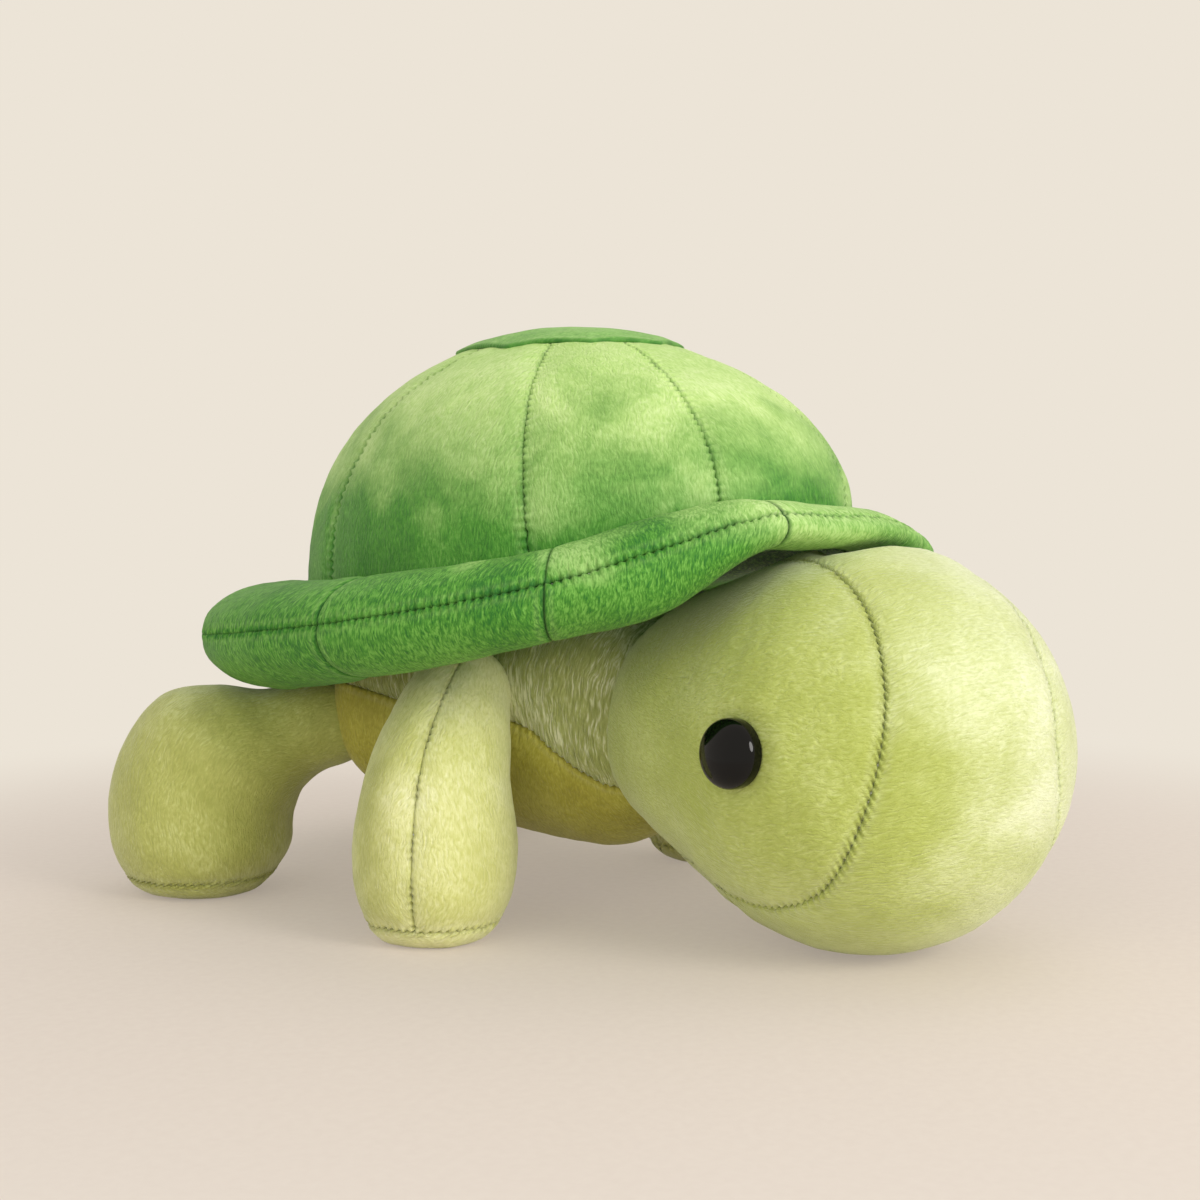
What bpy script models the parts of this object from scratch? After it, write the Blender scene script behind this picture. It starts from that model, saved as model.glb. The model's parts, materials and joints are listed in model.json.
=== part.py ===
"""A plush turtle as it is sewn: panels of short pile plush over stuffing, with two safety eyes.

It faces -Y, its left is +X and up is +Z, in metres. It stands on four soles and its chin at z = 0,
with its head turned a little to its right and the front of the shell's rim lying on the head.
"""
from math import cos, pi, radians, sin, sqrt

import bmesh
import bpy
import numpy as np

# Cloth and fits
CLOTH = 0.0014
FIT_GAP = 0.0003
SEAM_GAP = 0.0005
CUT_OVERRUN = 0.004
FLOOR_FLAT = 0.0005

# Shell: a dome of gores, a patch on top and a stuffed rim round it
SHELL_TURN = radians(8)
GORES = 8
GORE_CELLS = 4
DOME_FRONT = 0.107
DOME_REAR = 0.117
DOME_HALF_WIDTH = 0.088
DOME_TOP = 0.2093
DOME_SPRING_HEIGHT = 0.131
DOME_SPRING_TILT = 0.018
DOME_ROUND_FRONT = 1.8
DOME_ROUND_REAR = 2.15
DOME_ARC_SHARE = 0.86
GORE_START_SHARE = 0.2
GORE_ANGLES = (0, 22.5, 67.5, 112.5, 180)
GORE_LEAN = radians(8)
GORE_LEAN_SHARES = (0, 0, -1, 0, 0)
GORE_LEVEL_SHARES = (GORE_START_SHARE, 0.33, 0.48, 0.62, 0.75, DOME_ARC_SHARE, 1)
BASE_LEVEL_SHARES = (1, 0.7, 0.4, 0)
BASE_DISH_SHARE = 1.5
BASE_STUFFING_SHARE = 0.985
PATCH_FRONT = 0.045
PATCH_HALF_WIDTH = 0.038
PATCH_CORNERS = 8
PATCH_LEVEL_SHARES = (1, 0.7, 0.4, 0)

# Rim
RIM_PANELS = 10
RIM_PANEL_CELLS = 4
RIM_OUT = 0.018
RIM_IN = 0.011
RIM_HEIGHT = 0.100
RIM_THICKNESS = 0.039
RIM_ROLL = radians(40)
RIM_OPEN = radians(30)
RIM_ANGLES = (-180, -126, -90, -60, -40, -20, 0, 15, 28, 45, 60, 90, 126, 180)
RIM_HEIGHT_SHARES = (.93, .985, 1.085, 1.19, 1.24, 1.29, 1.39, 1.405, 1.41, 1.29, 1.207, 1.087, .987, .93)
RIM_THICKNESS_SHARES = (1, .99, .88, .76, .55, .42, .37, .38, .46, .82, .78, .87, .99, 1)
RIM_OUT_SHARES = (1.5, 1.55, 1.2, 1.05, 1, 1, 1, 1, 1, 1, 1.05, 1.2, 1.6, 1.5)
RIM_ROLL_SHARES = (0, .1, .25, .5, .7, .9, 1, .95, .85, .65, .5, .25, .1, 0)

# Body: a ball chest that the head is sewn to, drawn out to the rear
CHEST_RADIUS = 0.049
CHEST_AHEAD = 0.015
CHEST_HEIGHT = 0.070
CHEST_RISE = 0.0375
CHEST_SQUARENESS = 3.2
CHEST_GAP = 0.0005
BODY_REAR = 0.112
BODY_REAR_FULLNESS = 0.5
BODY_REAR_SQUARENESS = 0.6
BODY_REAR_DEPTH = 0.25
BODY_REAR_FALL = 0.2
BODY_REAR_ONSET = 1.3
BODY_WIDTH_STATIONS = (0.4, 0.52, 0.6, 0.68, 0.76, 0.82, 0.92, 1)
BODY_WIDTH_SHARES = (1, 1, 1.05, 1.25, 1.47, 1.37, 1.3, 1.3)
BODY_ROW_SHARES = (0.06, 0.14, 0.23, 0.32, 0.41, 0.5, 0.56, 0.63, 0.7, 0.77, 0.84, 0.9, 0.965)
BELLY_SEAM_STATIONS = (0, .31, .43, .53, .65, .76, .84, 1)
BELLY_SEAM_DROP = radians(45)
BELLY_SEAM_SHARES = (1, .73, .27, -.02, -.12, -.42, -.4, 0)
SHELL_BASE_MIDDLE = 0.113

# Head
HEAD_RADIUS = 0.067
HEAD_AHEAD = 0.127
HEAD_ASIDE = 0.0094
HEAD_TURN = radians(18.5)
HEAD_BEND = 0.0094
HEAD_STATIONS = (0, 45, 90, 110, 120, 130, 140, 150, 160, 170, 180, 187, 195, 205, 215, 225, 240, 270, 315, 360)
HEAD_OUTLINE_SHARES = (1, 1.01, 1.03, 1.03, 1.05, 1.1, 1.185, 1.29, 1.38, 1.42, 1.42, 1.4, 1.34, 1.23, 1.12,
                       1.05, 1.01, 1, 1, 1)
HEAD_SWING_LEFT = radians(10)
HEAD_SWING_RIGHT = radians(6)
SADDLE_GAP = 0.0008
SADDLE_MARGIN_SHARE = 1.2
SADDLE_BLEND = 0.004
SIDE_SEAM_SHARE = 0.35
CHEEK_ROW_SHARES = (0.52, 0.7, 0.86, 1)
SEAM_STATIONS = (-180, -130, -96, -50, -20, 8, 30, 57, 95, 130, 180)
SEAM_RIGHT_SHARES = (.36, .5, .51, .497, .49, .443, .385, .313, .257, .25, .36)
SEAM_LEFT_SHARES = (.36, .42, .44, .40, .27, .215, .25, .28, .28, .28, .36)
CHIN_SEAM = radians(-112)
NAPE_HALF_GAP = radians(4)
CROWN_START = radians(74)
CROWN_END = radians(128)

# Eyes
EYE_RADIUS = 0.011
EYE_DOME = 0.0062
EYE_EDGE = 0.0014
EYE_AHEAD = 0.0105
EYE_ABOVE = 0.006
POST_RADIUS = 0.0024
POST_LENGTH = 0.012
POST_CLEARANCE = 0.0003
WASHER_RADIUS = 0.009
WASHER_THICKNESS = 0.0016
WASHER_SET = 0.0021
POCKET_CLEARANCE = 0.0006

# Front legs: places along the middle line as side, ahead and up, with the radius there
FRONT_HIP = (0.0585, -0.004, 0.080)
FRONT_HIP_RADIUS = 0.019
FRONT_FOOT = (0.084, 0.002)
FRONT_LEG_RADIUS = 0.028
FRONT_SOLE_RADIUS = 0.0235
FRONT_LEAN = radians(50)
FRONT_SEAM = radians(65)
FRONT_BEND_SHARES = ((.42, .88, .2, .7), (.78, .68, .65, .36), (.96, .44, .95, .1), (1, .2, .97, 0))

# Rear legs
REAR_HIP = (0.049, -0.080, 0.064)
REAR_HIP_RADIUS = 0.017
REAR_FOOT = (0.081, -0.118)
REAR_LEG_RADIUS = 0.0345
REAR_SOLE_RADIUS = 0.028
REAR_LEAN = radians(70)
REAR_SEAM = radians(-140)
REAR_BEND_SHARES = ((.28, .94, .13, .76), (.53, .915, .48, .67), (.763, .84, .84, .53), (.92, .65, .97, .36),
                    (.99, .443, 1, .19), (1, .217, .94, .06))
HIP_COVER_SHARES = (-0.75, -0.45, -0.2)
SOLE_HEIGHT = 0.0065
SOLE_FLAT_SHARE = 0.64
SOLE_CURVE_SHARE = 0.3
LEG_CELLS = 12

# Tail
TAIL_AHEAD = -0.098
TAIL_HEIGHT = 0.069
TAIL_RADIUS = 0.0115
TAIL_LENGTH = 0.032
TAIL_DROP = 0.014
TAIL_LEAN = radians(66)
TAIL_SHARES = ((0, 1), (.35, .95), (.7, .68), (.95, .3))
TAIL_ROW_SHARES = (-1, -0.6, -0.3, 0, 1, 2, 3, 3.6, 4)
TAIL_CELLS = 10

# Facets
STEP = 1e-4
POLE = 2e-3
BALL_CELLS = 18
BALL_PHASE = 0.13
TURNED_CELLS = 40
EYE_CELLS = 20
POST_HOLE_CELLS = 16
SHARP_EDGE = radians(50)


def clear_scene():
    for thing in list(bpy.data.objects):
        bpy.data.objects.remove(thing, do_unlink=True)


def material(name, colour, roughness):
    """Principled material with a linear colour."""
    made = bpy.data.materials.new(name)
    made.use_nodes = True
    shader = made.node_tree.nodes["Principled BSDF"]
    shader.inputs["Base Color"].default_value = (*colour, 1.0)
    shader.inputs["Roughness"].default_value = roughness
    shader.inputs["Metallic"].default_value = 0.0
    return made


def through(stations, values, where):
    """Smooth curve through values at stations: cubic pieces whose slopes are those of the neighbours."""
    stations = np.asarray(stations, float)
    values = np.asarray(values, float)
    slopes = np.gradient(values, stations, axis=0)
    where = np.clip(where, stations[0], stations[-1])
    at = np.clip(np.searchsorted(stations, where, side="right") - 1, 0, len(stations) - 2)
    span = stations[at + 1] - stations[at]
    t = (where - stations[at]) / span
    if values.ndim > 1:
        t = t[..., None]
        span = span[..., None]
    rise = t * t * (3 - 2 * t)
    return (values[at] * (1 - rise) + values[at + 1] * rise
            + span * slopes[at] * t * (1 - t) ** 2 - span * slopes[at + 1] * t * t * (1 - t))


def point(side, ahead, up):
    """Stack of positions: side is towards the turtle's left, ahead towards its face."""
    side, ahead, up = np.broadcast_arrays(side, ahead, up)
    return np.stack([side, -ahead, up], -1)


def shell_point(angle, reach, half_width, up):
    """Point on an oval round the shell's middle, at an angle from its front towards its right."""
    side = -half_width * np.sin(angle)
    ahead = reach * np.cos(angle)
    turned_side = side * cos(SHELL_TURN) - ahead * sin(SHELL_TURN)
    turned_ahead = ahead * cos(SHELL_TURN) + side * sin(SHELL_TURN)
    return point(turned_side, turned_ahead, up)


def around_rim(shares, angle):
    """Value of a table of shares at an angle of the shell."""
    wrapped = (np.degrees(angle + SHELL_TURN) + 180) % 360 - 180
    return through(RIM_ANGLES, shares, wrapped)


def rim_height(angle):
    return RIM_HEIGHT * around_rim(RIM_HEIGHT_SHARES, angle)


def rim_half_thickness(angle):
    return RIM_THICKNESS / 2 * around_rim(RIM_THICKNESS_SHARES, angle)


def reach_of(angle, front, rear):
    return np.where(np.cos(angle) > 0, front, rear)


def leaned(level, angle):
    """Angle of a gore's line at a level: some gores' seams lean forward towards the rim."""
    turned = (np.degrees(angle) + 180) % 360 - 180
    return angle + np.sign(turned) * GORE_LEAN * level * through(GORE_ANGLES, GORE_LEAN_SHARES, np.abs(turned))


def dome(level, angle):
    """Dome: an arc from the top to the spring line, then a straight skirt down behind the rim.

    The arc is a superellipse, flatter in front than behind: radius share ** n + height share ** n = 1.
    """
    angle = leaned(level, angle)
    front = (1 + np.cos(angle)) / 2
    power = DOME_ROUND_REAR + (DOME_ROUND_FRONT - DOME_ROUND_REAR) * front
    spring = DOME_SPRING_HEIGHT + DOME_SPRING_TILT * np.cos(angle)
    turn = np.clip(level / DOME_ARC_SHARE, 0, 1) * pi / 2
    share = np.sin(turn) ** (2 / power)
    height = spring + (DOME_TOP - spring) * np.cos(turn) ** (2 / power)
    skirt = np.clip((level - DOME_ARC_SHARE) / (1 - DOME_ARC_SHARE), 0, 1)
    height = height + (rim_height(angle) - spring) * skirt
    reach = reach_of(angle, DOME_FRONT, DOME_REAR)
    return shell_point(angle, reach * share, DOME_HALF_WIDTH * share, height)


def shell_base(level, angle):
    """Underside of the shell: a dished sheet inside the foot of the dome."""
    angle = leaned(level, angle)
    reach = reach_of(angle, DOME_FRONT, DOME_REAR) - CLOTH - FIT_GAP
    half_width = DOME_HALF_WIDTH - CLOTH - FIT_GAP
    height = SHELL_BASE_MIDDLE + (rim_height(angle) - SHELL_BASE_MIDDLE) * level ** BASE_DISH_SHARE
    return shell_point(angle, reach * level, half_width * level, height)


def rim(turn, angle):
    """Rim: an oval section, thicker outside than inside, carried round the foot of the dome."""
    reach = reach_of(angle, DOME_FRONT, DOME_REAR) + FIT_GAP + RIM_IN
    half_width = DOME_HALF_WIDTH + FIT_GAP + RIM_IN
    outer = RIM_OUT * around_rim(RIM_OUT_SHARES, angle)
    out = np.where(np.cos(turn) > 0, outer, RIM_IN) * np.cos(turn)
    height = rim_height(angle) + rim_half_thickness(angle) * np.sin(turn)
    return shell_point(angle, reach + out, half_width + out, height)


def chest_reach(up_share):
    """Distance of the chest's surface from its middle, in a direction given by the share of it that is up.

    Its upright section is an ellipse below and a squarer superellipse above, so it is the same all round.
    """
    level_share = np.sqrt(np.clip(1 - up_share ** 2, 0, 1))
    high = up_share > 0
    power = np.where(high, CHEST_SQUARENESS, 2.0)
    height = np.where(high, CHEST_RISE, CHEST_RADIUS)
    total = (level_share / CHEST_RADIUS) ** power + (np.abs(up_share) / height) ** power
    return total ** (-1 / power)


def body(along, around):
    """Body: the chest, turned about its upright axis in front and drawn out to the rear behind it.

    around is 0 at the bottom, 0.5 at the belly seam on the left and 1 at the top.
    """
    turn = along * pi
    place = (around + 1) % 2 - 1
    seam = -BELLY_SEAM_DROP * through(BELLY_SEAM_STATIONS, BELLY_SEAM_SHARES, along)
    half = np.abs(place)
    slant = np.where(half < 0.5, -pi / 2 + (seam + pi / 2) * 2 * half, seam + (pi / 2 - seam) * (2 * half - 1))
    up_share = np.sin(turn) * np.sin(slant)
    reach = chest_reach(up_share)
    rear = np.clip(2 * along - 1, 0, 1) ** BODY_REAR_ONSET
    width = through(BODY_WIDTH_STATIONS, BODY_WIDTH_SHARES, along)
    ahead = reach * np.cos(turn) * np.where(along < 0.5, 1, BODY_REAR / CHEST_RADIUS)
    full = np.sin(turn) ** np.where(along < 0.5, 1, 1 - BODY_REAR_FULLNESS)
    square = 1 - BODY_REAR_SQUARENESS * (width - 1)
    side = np.sign(place) * reach * full * width * np.clip(np.cos(slant), 0, 1) ** square
    up = reach * up_share * np.where(up_share > 0, 1 - BODY_REAR_FALL * rear, 1)
    up = up * np.clip(np.sin(turn), STEP, 1) ** (BODY_REAR_DEPTH * (1 - width))
    return point(side, CHEST_AHEAD + ahead, CHEST_HEIGHT + up)


def head(across, around):
    """Head: its side outline, shrunk as it goes across, so each slice is the outline at a smaller size.

    The rear of the outline is drawn out to the neck, and bends back towards the body's middle.
    """
    bearing = (np.degrees(around) + 180) % 360 - 180
    right = through(SEAM_STATIONS, SEAM_RIGHT_SHARES, bearing)
    left = through(SEAM_STATIONS, SEAM_LEFT_SHARES, bearing)
    seam = np.where(across < 0, right, left)
    beyond = (np.abs(across) - SIDE_SEAM_SHARE) / (1 - SIDE_SEAM_SHARE)
    share = np.where(beyond < 0, np.abs(across) / SIDE_SEAM_SHARE * seam, seam + (1 - seam) * beyond)
    tilt = np.sign(across) * share * pi / 2
    outline = HEAD_RADIUS * through(HEAD_STATIONS, HEAD_OUTLINE_SHARES, np.degrees(around) % 360)
    ahead = outline * np.cos(around) * np.cos(tilt)
    up = outline * np.sin(around) * np.cos(tilt)
    side = HEAD_RADIUS * np.sin(tilt) - HEAD_BEND * np.clip(-ahead / HEAD_RADIUS, 0, None) ** 2
    turned_side = side * cos(HEAD_TURN) - ahead * sin(HEAD_TURN)
    turned_ahead = ahead * cos(HEAD_TURN) + side * sin(HEAD_TURN)
    side = turned_side - HEAD_ASIDE
    ahead = turned_ahead + HEAD_AHEAD
    height = HEAD_RADIUS - FLOOR_FLAT + up
    dent = saddle(side, ahead)
    blend = np.clip(SADDLE_BLEND - np.abs(height - dent), 0, None)
    return point(side, ahead, np.minimum(height, dent) - blend ** 2 / SADDLE_BLEND / 4)


def rim_underside(side, ahead):
    """Height of the rim's underside over a place, and far above it where the rim isn't over it."""
    shell_side = side * cos(SHELL_TURN) + ahead * sin(SHELL_TURN)
    shell_ahead = ahead * cos(SHELL_TURN) - side * sin(SHELL_TURN)
    reach = reach_of(np.arctan2(-shell_side, shell_ahead), DOME_FRONT, DOME_REAR) + FIT_GAP + RIM_IN
    half_width = DOME_HALF_WIDTH + FIT_GAP + RIM_IN
    angle = np.arctan2(-shell_side / half_width, shell_ahead / reach)
    level = np.hypot(shell_side / half_width, shell_ahead / reach)
    beyond = np.hypot(shell_side, shell_ahead) * (1 - 1 / level)
    outer = RIM_OUT * around_rim(RIM_OUT_SHARES, angle)
    share = np.abs(beyond) / np.where(beyond > 0, outer, RIM_IN) / SADDLE_MARGIN_SHARE
    depth = np.sqrt(np.clip(1 - share ** 2, 0, 1)) - np.clip(share - 1, 0, None)
    return rim_height(angle) - rim_half_thickness(angle) * depth


def saddle(side, ahead):
    """Height of the dent in the head: the lowest that the rim comes over it as the head turns."""
    reach = np.hypot(side, ahead - CHEST_AHEAD)
    bearing = np.arctan2(-side, ahead - CHEST_AHEAD)
    lowest = np.inf
    for turn in np.linspace(-HEAD_SWING_LEFT, HEAD_SWING_RIGHT, 9):
        under = rim_underside(-reach * np.sin(bearing + turn), CHEST_AHEAD + reach * np.cos(bearing + turn))
        lowest = np.minimum(lowest, under)
    return lowest - SADDLE_GAP


def limb(sections, heading, lean):
    """Surface of a limb: round sections carried along a smooth middle line, upright ones near the floor.

    A section is its middle's side, ahead and up, its radius and its share of the hip's lean towards
    the heading. along runs from -1 at the pole of the hip ball to 0 at its equator, then by one for
    each section, and over the last unit it closes flat. around is the angle from the front outwards.
    """
    sections = np.asarray(sections, float)
    numbers = np.arange(len(sections), dtype=float)
    last = numbers[-1]
    heading = np.array([*heading, 0.0])
    down = np.array([0.0, 0.0, -1.0])

    def surface(along, around):
        centre = through(numbers, sections, np.clip(along, 0, last))
        tilt = (lean * centre[..., 4])[..., None]
        line = heading * np.sin(tilt) + down * np.cos(tilt)
        fore = np.array([0.0, 1.0, 0.0]) - line * line[..., 1:2]
        fore = fore / np.linalg.norm(fore, axis=-1, keepdims=True)
        outer = np.cross(line, fore)
        ball = np.clip(-along, 0, 1) * pi / 2
        closing = np.clip(along - last, 0, 1)
        radius = centre[..., 3] * np.cos(ball) * (1 - closing)
        middle = centre[..., :3] - line * (centre[..., 3] * np.sin(ball))[..., None]
        spoke = fore * np.cos(around)[..., None] + outer * np.sin(around)[..., None]
        place = middle + spoke * radius[..., None]
        return point(place[..., 0], place[..., 1], place[..., 2])

    return surface


def inset(surface, along, around, depth):
    """Surface moved inwards along its own normal, found from small steps either way."""
    along, around = np.broadcast_arrays(along, around)
    place = surface(along, around)
    low, high = surface.ends if hasattr(surface, "ends") else (-np.inf, np.inf)
    safe = np.clip(along, low + POLE, high - POLE)
    one = surface(safe + STEP, around) - surface(safe - STEP, around)
    two = surface(safe, around + STEP) - surface(safe, around - STEP)
    normal = np.cross(one, two)
    normal = normal / np.linalg.norm(normal, axis=-1, keepdims=True)
    return place - normal * depth * surface.outward


def describe(surface, outward, ends):
    """Notes which way a surface's normal points and where its poles are."""
    surface.outward = outward
    surface.ends = ends
    return surface


def grid_faces(rows, columns, offset, wrapped):
    """Four-sided faces of a grid of rows and columns, as an array of vertex numbers."""
    row = np.arange(rows - 1)[:, None]
    column = np.arange(columns if wrapped else columns - 1)[None, :]
    following = (column + 1) % columns
    corners = [row * columns + column, row * columns + following,
               (row + 1) * columns + following, (row + 1) * columns + column]
    return np.stack([np.broadcast_to(c, (rows - 1, column.shape[1])) for c in corners], -1).reshape(-1, 4) + offset


def add_mesh(name, vertices, faces, look):
    """New object whose doubles are merged and whose faces point outwards."""
    mesh = bpy.data.meshes.new(name)
    mesh.from_pydata(np.asarray(vertices).tolist(), [], faces)
    work = bmesh.new()
    work.from_mesh(mesh)
    bmesh.ops.remove_doubles(work, verts=work.verts, dist=STEP / 10)
    bmesh.ops.dissolve_degenerate(work, dist=STEP / 10, edges=work.edges)
    bmesh.ops.recalc_face_normals(work, faces=work.faces)
    bmesh.ops.triangulate(work, faces=work.faces, quad_method="SHORT_EDGE")
    work.to_mesh(mesh)
    work.free()
    thing = bpy.data.objects.new(name, mesh)
    bpy.context.scene.collection.objects.link(thing)
    mesh.materials.append(look)
    mesh.shade_smooth()
    mesh.set_sharp_from_angle(angle=SHARP_EDGE)
    return thing


def stuffing(name, surface, along, around, look, depth=CLOTH + FIT_GAP, trim=None):
    """Closed solid inside a form: a grid that wraps round, with both ends drawn to a point."""
    rows, columns = np.meshgrid(along, around, indexing="ij")
    places = inset(surface, rows, columns, depth)
    if trim:
        places = trim(places, depth)
    places[0] = places[0].mean(0)
    places[-1] = places[-1].mean(0)
    return add_mesh(name, places.reshape(-1, 3), grid_faces(*rows.shape, 0, True).tolist(), look)


def trimmed(surface, fixed, edge, way, across):
    """Place of a panel's edge, drawn back from the seam line by half the seam's gap."""
    if across:
        run = surface(fixed, edge + STEP) - surface(fixed, edge - STEP)
    else:
        run = surface(edge + STEP, fixed) - surface(edge - STEP, fixed)
    speed = np.linalg.norm(run, axis=-1) / (2 * STEP)
    return edge + way * SEAM_GAP / 2 / speed


def panel(name, surface, along, around, look, wrapped=False, pole=False, trim=None, above=0.0):
    """Piece of cloth on a form: an outer and an inner grid, closed by walls along its edges.

    along and around are the rows and columns of the grid. A wrapped panel goes right round, and
    a panel with a pole has its last row drawn to a point.
    """
    rows, columns = np.meshgrid(np.asarray(along, float), np.asarray(around, float), indexing="ij")
    if not wrapped:
        first = trimmed(surface, rows[:, 0], columns[:, 0], 1, True)
        last = trimmed(surface, rows[:, -1], columns[:, -1], -1, True)
        share = (columns - columns[:, :1]) / (columns[:, -1:] - columns[:, :1])
        columns = first[:, None] * (1 - share) + last[:, None] * share
    way = np.sign(rows[-1, 0] - rows[0, 0])
    rows[0] = trimmed(surface, columns[0], rows[0], way, False)
    if not pole:
        rows[-1] = trimmed(surface, columns[-1], rows[-1], -way, False)
    skins = []
    for depth in (-above, CLOTH - above):
        places = inset(surface, rows, columns, depth)
        if trim:
            places = trim(places, depth)
        if pole:
            places[-1] = places[-1].mean(0)
        skins.append(places)
    count = rows.size
    faces = grid_faces(*rows.shape, 0, wrapped).tolist() + grid_faces(*rows.shape, count, wrapped)[:, ::-1].tolist()
    numbers = np.arange(count).reshape(rows.shape)
    border = [numbers[0]]
    if not pole:
        border.append(numbers[-1])
    if not wrapped:
        border += [numbers[:, 0], numbers[:, -1]]
    for line in border:
        following = np.roll(line, -1)[:None if wrapped else -1]
        line = line if wrapped else line[:-1]
        faces += np.stack([line, following, following + count, line + count], -1).tolist()
    places = np.concatenate([skin.reshape(-1, 3) for skin in skins])
    return add_mesh(name, places, faces, look)


def on_floor(places, depth):
    """Flat where a form stands on the floor."""
    places[..., 2] = np.maximum(places[..., 2], max(depth, 0))
    return places


def cutter(name, vertices, faces):
    thing = add_mesh(name, vertices, faces, bpy.data.materials["cutter"])
    thing.hide_render = True
    thing.display_type = "WIRE"
    return thing


def ball_cutter(name, centre, radius):
    """Ball with its poles up and down, whose flats, not only its corners, clear the radius."""
    clear = radius / cos(pi / BALL_CELLS) ** 2
    slant = np.linspace(-pi / 2, pi / 2, BALL_CELLS // 2 + 1)
    profile = np.stack([clear * np.cos(slant), clear * np.sin(slant)], -1)
    places, faces = turned(profile, BALL_CELLS, np.asarray(centre), (0, 0, 1), (1, BALL_PHASE, 0))
    return cutter(name, places, faces)


def turned(profile, cells, centre, axis, across):
    """Profile of radius and height spun about an axis, as a grid with closed ends."""
    axis = np.asarray(axis, float)
    across = np.asarray(across, float)
    across = across - axis * across.dot(axis)
    across = across / np.linalg.norm(across)
    third = np.cross(axis, across)
    profile = np.asarray(profile, float)
    turn = np.arange(cells) * 2 * pi / cells
    spokes = np.cos(turn)[:, None] * across + np.sin(turn)[:, None] * third
    places = centre + profile[:, None, 1:] * axis + profile[:, None, :1] * spokes
    return places.reshape(-1, 3), grid_faces(len(profile), cells, 0, True).tolist()


def cut(thing, *tools):
    for tool in tools:
        step = thing.modifiers.new(tool.name, "BOOLEAN")
        step.operation = "DIFFERENCE"
        step.solver = "EXACT"
        step.object = tool


def build_shell(looks):
    """Gores, patch, rim panels, base and the two stuffings."""
    gore_width = 2 * pi / GORES
    levels = np.array(GORE_LEVEL_SHARES)
    for number in range(GORES):
        left = (number - 0.5) * gore_width
        angles = np.linspace(left, left + gore_width, GORE_CELLS + 1)
        panel(f"shell_gore_{number + 1}", dome, levels, angles, looks["dome"])
    cells = np.arange(GORES * GORE_CELLS) * gore_width / GORE_CELLS - gore_width / 2
    base_levels = np.array(BASE_LEVEL_SHARES)
    panel("shell_base", shell_base, base_levels, cells, looks["rim"], wrapped=True, pole=True)

    solid = []
    inner_levels = np.r_[BASE_STUFFING_SHARE, base_levels[1:]]
    for surface, rows in ((dome, np.r_[0, levels[:-1]]), (shell_base, inner_levels)):
        solid.append(inset(surface, *np.meshgrid(rows, cells, indexing="ij"), CLOTH + FIT_GAP))
    solid = np.concatenate(solid)
    solid[0] = solid[0].mean(0)
    solid[-1] = solid[-1].mean(0)
    add_mesh("shell_stuffing", solid.reshape(-1, 3), grid_faces(*solid.shape[:2], 0, True).tolist(), looks["fill"])

    build_patch(looks)
    build_rim(looks)


def build_patch(looks):
    """Eight-cornered patch on the dome's top, standing proud of the gores by its own cloth."""
    corner = 2 * pi / PATCH_CORNERS
    angles = np.arange(GORES * GORE_CELLS) * 2 * pi / GORES / GORE_CELLS
    within = (angles + corner / 2) % corner - corner / 2
    edge_share = cos(corner / 2) / np.cos(np.abs(within) - corner / 2)
    widest = sqrt((PATCH_FRONT / DOME_FRONT) * (PATCH_HALF_WIDTH / DOME_HALF_WIDTH))

    def patch(level, angle):
        share = np.interp(angle, np.r_[angles, 2 * pi], np.r_[edge_share, edge_share[0]])
        turn = np.arcsin(np.clip(widest * share * level, 0, 1))
        return dome(turn / (pi / 2) * DOME_ARC_SHARE, angle)

    describe(patch, -1, (0, 2))
    panel("shell_patch", patch, PATCH_LEVEL_SHARES, angles, looks["patch"], wrapped=True, pole=True,
          above=CLOTH + FIT_GAP)


def rim_seam(angle):
    """Place round the rim's section where its upper and lower panels meet."""
    return RIM_ROLL * around_rim(RIM_ROLL_SHARES, angle)


def rim_upper(share, angle):
    seam = rim_seam(angle)
    return rim(seam + (pi - RIM_OPEN - seam) * share, angle)


def rim_lower(share, angle):
    seam = rim_seam(angle)
    return rim(seam - (pi - RIM_OPEN + seam) * share, angle)


def rim_inside(share, angle):
    """The rim's inner side, which the dome's foot closes."""
    return rim(pi + RIM_OPEN * share, angle)


def build_rim(looks):
    """Ten upper and ten lower panels, seamed along the rim's edge and across it, and the stuffing."""
    width = 2 * pi / RIM_PANELS
    up_shares = np.linspace(0, 1, 4)
    down_shares = np.linspace(0, 1, 5)
    for number in range(RIM_PANELS):
        start = (number - 0.5) * width
        angles = np.linspace(start, start + width, RIM_PANEL_CELLS + 1)
        panel(f"rim_upper_{number + 1}", rim_upper, up_shares, angles, looks["rim"])
        panel(f"rim_lower_{number + 1}", rim_lower, down_shares, angles, looks["rim"])
    cells = np.arange(RIM_PANELS * RIM_PANEL_CELLS) * width / RIM_PANEL_CELLS - width / 2
    rings = []
    for surface, shares in ((rim_upper, up_shares), (rim_inside, np.array([0])), (rim_lower, down_shares[:0:-1])):
        rings.append(inset(surface, *np.meshgrid(shares, cells, indexing="ij"), CLOTH + FIT_GAP))
    places = np.concatenate(rings)
    faces = grid_faces(len(places) + 1, len(cells), 0, True) % places[..., 0].size
    add_mesh("rim_stuffing", places.reshape(-1, 3), faces.tolist(), looks["fill"])


def build_body(looks, hips):
    """Upper cover, two belly panels that meet along the middle, and the stuffing."""
    along = np.array(BODY_ROW_SHARES)
    down = np.linspace(0, 0.5, 4)
    upper = np.linspace(0.5, 1.5, 9)
    pieces = [
        panel("body_upper", body, along, upper, looks["flank"]),
        panel("belly_left", body, along, down, looks["belly"]),
        panel("belly_right", body, along, down - 0.5, looks["belly"]),
        stuffing("body_stuffing", body, np.r_[0, along, 1], np.r_[down[:-1], upper, 1.5 + down[1:-1]],
                 looks["fill"]),
    ]
    for piece in pieces:
        cut(piece, *hips)


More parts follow.
